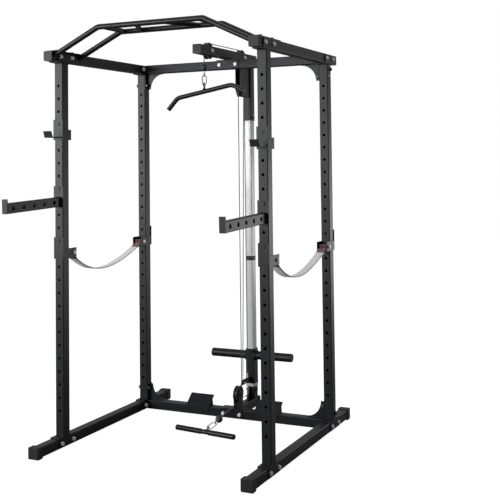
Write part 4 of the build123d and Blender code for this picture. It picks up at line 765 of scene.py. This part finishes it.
ARM_HALF_WIDTH = 0.015
ARM_BELOW_PLATE_TOP = 0.081
PLATE = 0.004
GAP = 0.0003
for side_name in ("left", "right"):
    arm = "spotter_arm_" + side_name
    x = centre(arm).x
    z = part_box(arm)[1][2] - ARM_BELOW_PLATE_TOP
    y = centre("upright_front_" + side_name).y - HALF - GAP - PLATE
    flat_loop = square_loop(Vector((0, 0, 0)), ARM_HALF_WIDTH, HALF, 0)
    weld(arm + "_weld_bead", [[Vector((x + p.x, y, z + p.y)) for p in flat_loop]], BEAD_R, arm)


# ---------------------------------------------------------------- floor, light and camera
FLOOR_SIDE = 40
FLOOR_MIDDLE = (0, 6, -0.0004)
FLOOR_GREY = 0.22
FLOOR_GLOW = 0.93


def floor_material():
    """Pale floor: near white to the camera with faint shadows, dark in what it reflects into."""
    material, tree, shader = new_material("pale floor")
    shader.inputs["Base Color"].default_value = (FLOOR_GREY, FLOOR_GREY, FLOOR_GREY, 1)
    shader.inputs["Roughness"].default_value = 0.8
    shader.inputs["Specular IOR Level"].default_value = 0.1
    output = next(n for n in tree.nodes if n.type == "OUTPUT_MATERIAL")
    glow = add(tree, "ShaderNodeEmission", {"Color": (1, 1, 1, 1), "Strength": FLOOR_GLOW})
    path = add(tree, "ShaderNodeLightPath")
    both = add(tree, "ShaderNodeAddShader")
    pick = add(tree, "ShaderNodeMixShader")
    link(tree, shader.outputs["BSDF"], both.inputs[0])
    link(tree, glow.outputs["Emission"], both.inputs[1])
    link(tree, path.outputs["Is Camera Ray"], pick.inputs[0])
    link(tree, shader.outputs["BSDF"], pick.inputs[1])
    link(tree, both.outputs["Shader"], pick.inputs[2])
    link(tree, pick.outputs["Shader"], output.inputs["Surface"])
    return material


bpy.ops.mesh.primitive_plane_add(size=1)
floor = bpy.context.object
floor.name = "floor"
floor.scale = (FLOOR_SIDE, FLOOR_SIDE, 1)
floor.location = FLOOR_MIDDLE
floor.data.materials.append(floor_material())


def soft_light(name, place, target, width, height, power, color):
    light = bpy.data.lights.new(name, "AREA")
    light.shape = "RECTANGLE"
    light.size = width
    light.size_y = height
    light.energy = power
    light.color = color
    obj = new_object(name, light)
    obj.location = place
    obj.rotation_euler = (Vector(target) - Vector(place)).to_track_quat("-Z", "Y").to_euler()
    obj.visible_camera = False


COOL, WARM, NEUTRAL = (0.93, 0.94, 1.0), (1.0, 0.99, 0.95), (1, 1, 1)
# name, place, what it is aimed at, width, height, power and colour
soft_light("key", (-2.6, -4.4, 1.95), (0, 0, 1.2), 4.0, 2.0, 350, COOL)
soft_light("left key", (-4.2, -4.2, 1.6), (-0.6, 0, 1.4), 1.6, 1.1, 75, COOL)
soft_light("side", (3.0, 4.2, 0.75), (0, 0, 0.9), 2.6, 1.3, 60, WARM)
soft_light("top", (0.2, 0.4, 4.8), (0, 0, 0), 3.4, 3.4, 50, NEUTRAL)

# the world: dim to diffuse rays, brighter in reflections, white to the camera
SKY_COLOR, SKY_STRENGTH = (0.94, 0.95, 0.98, 1), 0.35
MIRRORED_STRENGTH = 0.55
world = bpy.data.worlds.new("studio")
bpy.context.scene.world = world
world.use_nodes = True
sky = world.node_tree
background = sky.nodes["Background"]
background.inputs["Color"].default_value = SKY_COLOR
background.inputs["Strength"].default_value = SKY_STRENGTH
white = add(sky, "ShaderNodeBackground", {"Color": (1, 1, 1, 1), "Strength": 1.0})
mirrored = add(sky, "ShaderNodeBackground",
               {"Color": (1, 1, 1, 1), "Strength": MIRRORED_STRENGTH})
seen = add(sky, "ShaderNodeLightPath")
choose_glossy = add(sky, "ShaderNodeMixShader")
choose_camera = add(sky, "ShaderNodeMixShader")
world_output = sky.nodes["World Output"]
link(sky, seen.outputs["Is Glossy Ray"], choose_glossy.inputs[0])
link(sky, background.outputs[0], choose_glossy.inputs[1])
link(sky, mirrored.outputs[0], choose_glossy.inputs[2])
link(sky, seen.outputs["Is Camera Ray"], choose_camera.inputs[0])
link(sky, choose_glossy.outputs[0], choose_camera.inputs[1])
link(sky, white.outputs[0], choose_camera.inputs[2])
link(sky, choose_camera.outputs[0], world_output.inputs["Surface"])

cage_middle_y = (centre("upright_front_left").y + centre("upright_rear_left").y) / 2
CAMERA_PLACE = (2.3771, cage_middle_y - 4.1231, 1.4417)
CAMERA_AZIMUTH = 23.877      # degrees from +Y towards -X
CAMERA_RISE = 2.156          # degrees above level
CAMERA_ROLL = -0.782
CAMERA_SENSOR = 36
CAMERA_LENS = 64.6015
CAMERA_SHIFT = (-0.0849, -0.2487)
camera_data = bpy.data.cameras.new("camera")
camera_data.sensor_width = CAMERA_SENSOR
camera_data.lens = CAMERA_LENS
camera_data.shift_x, camera_data.shift_y = CAMERA_SHIFT
camera = new_object("camera", camera_data)
turn, rise, roll = (math.radians(v) for v in (CAMERA_AZIMUTH, CAMERA_RISE, CAMERA_ROLL))
forward = Vector((-math.sin(turn) * math.cos(rise), math.cos(turn) * math.cos(rise),
                  math.sin(rise)))
level = forward.cross(Vector((0, 0, 1))).normalized()
above = level.cross(forward)
right = math.cos(roll) * level + math.sin(roll) * above
upward = math.cos(roll) * above - math.sin(roll) * level
camera.location = CAMERA_PLACE
camera.rotation_euler = Matrix((right, upward, -forward)).transposed().to_euler()
bpy.context.scene.camera = camera
bpy.context.scene.view_settings.view_transform = "Standard"
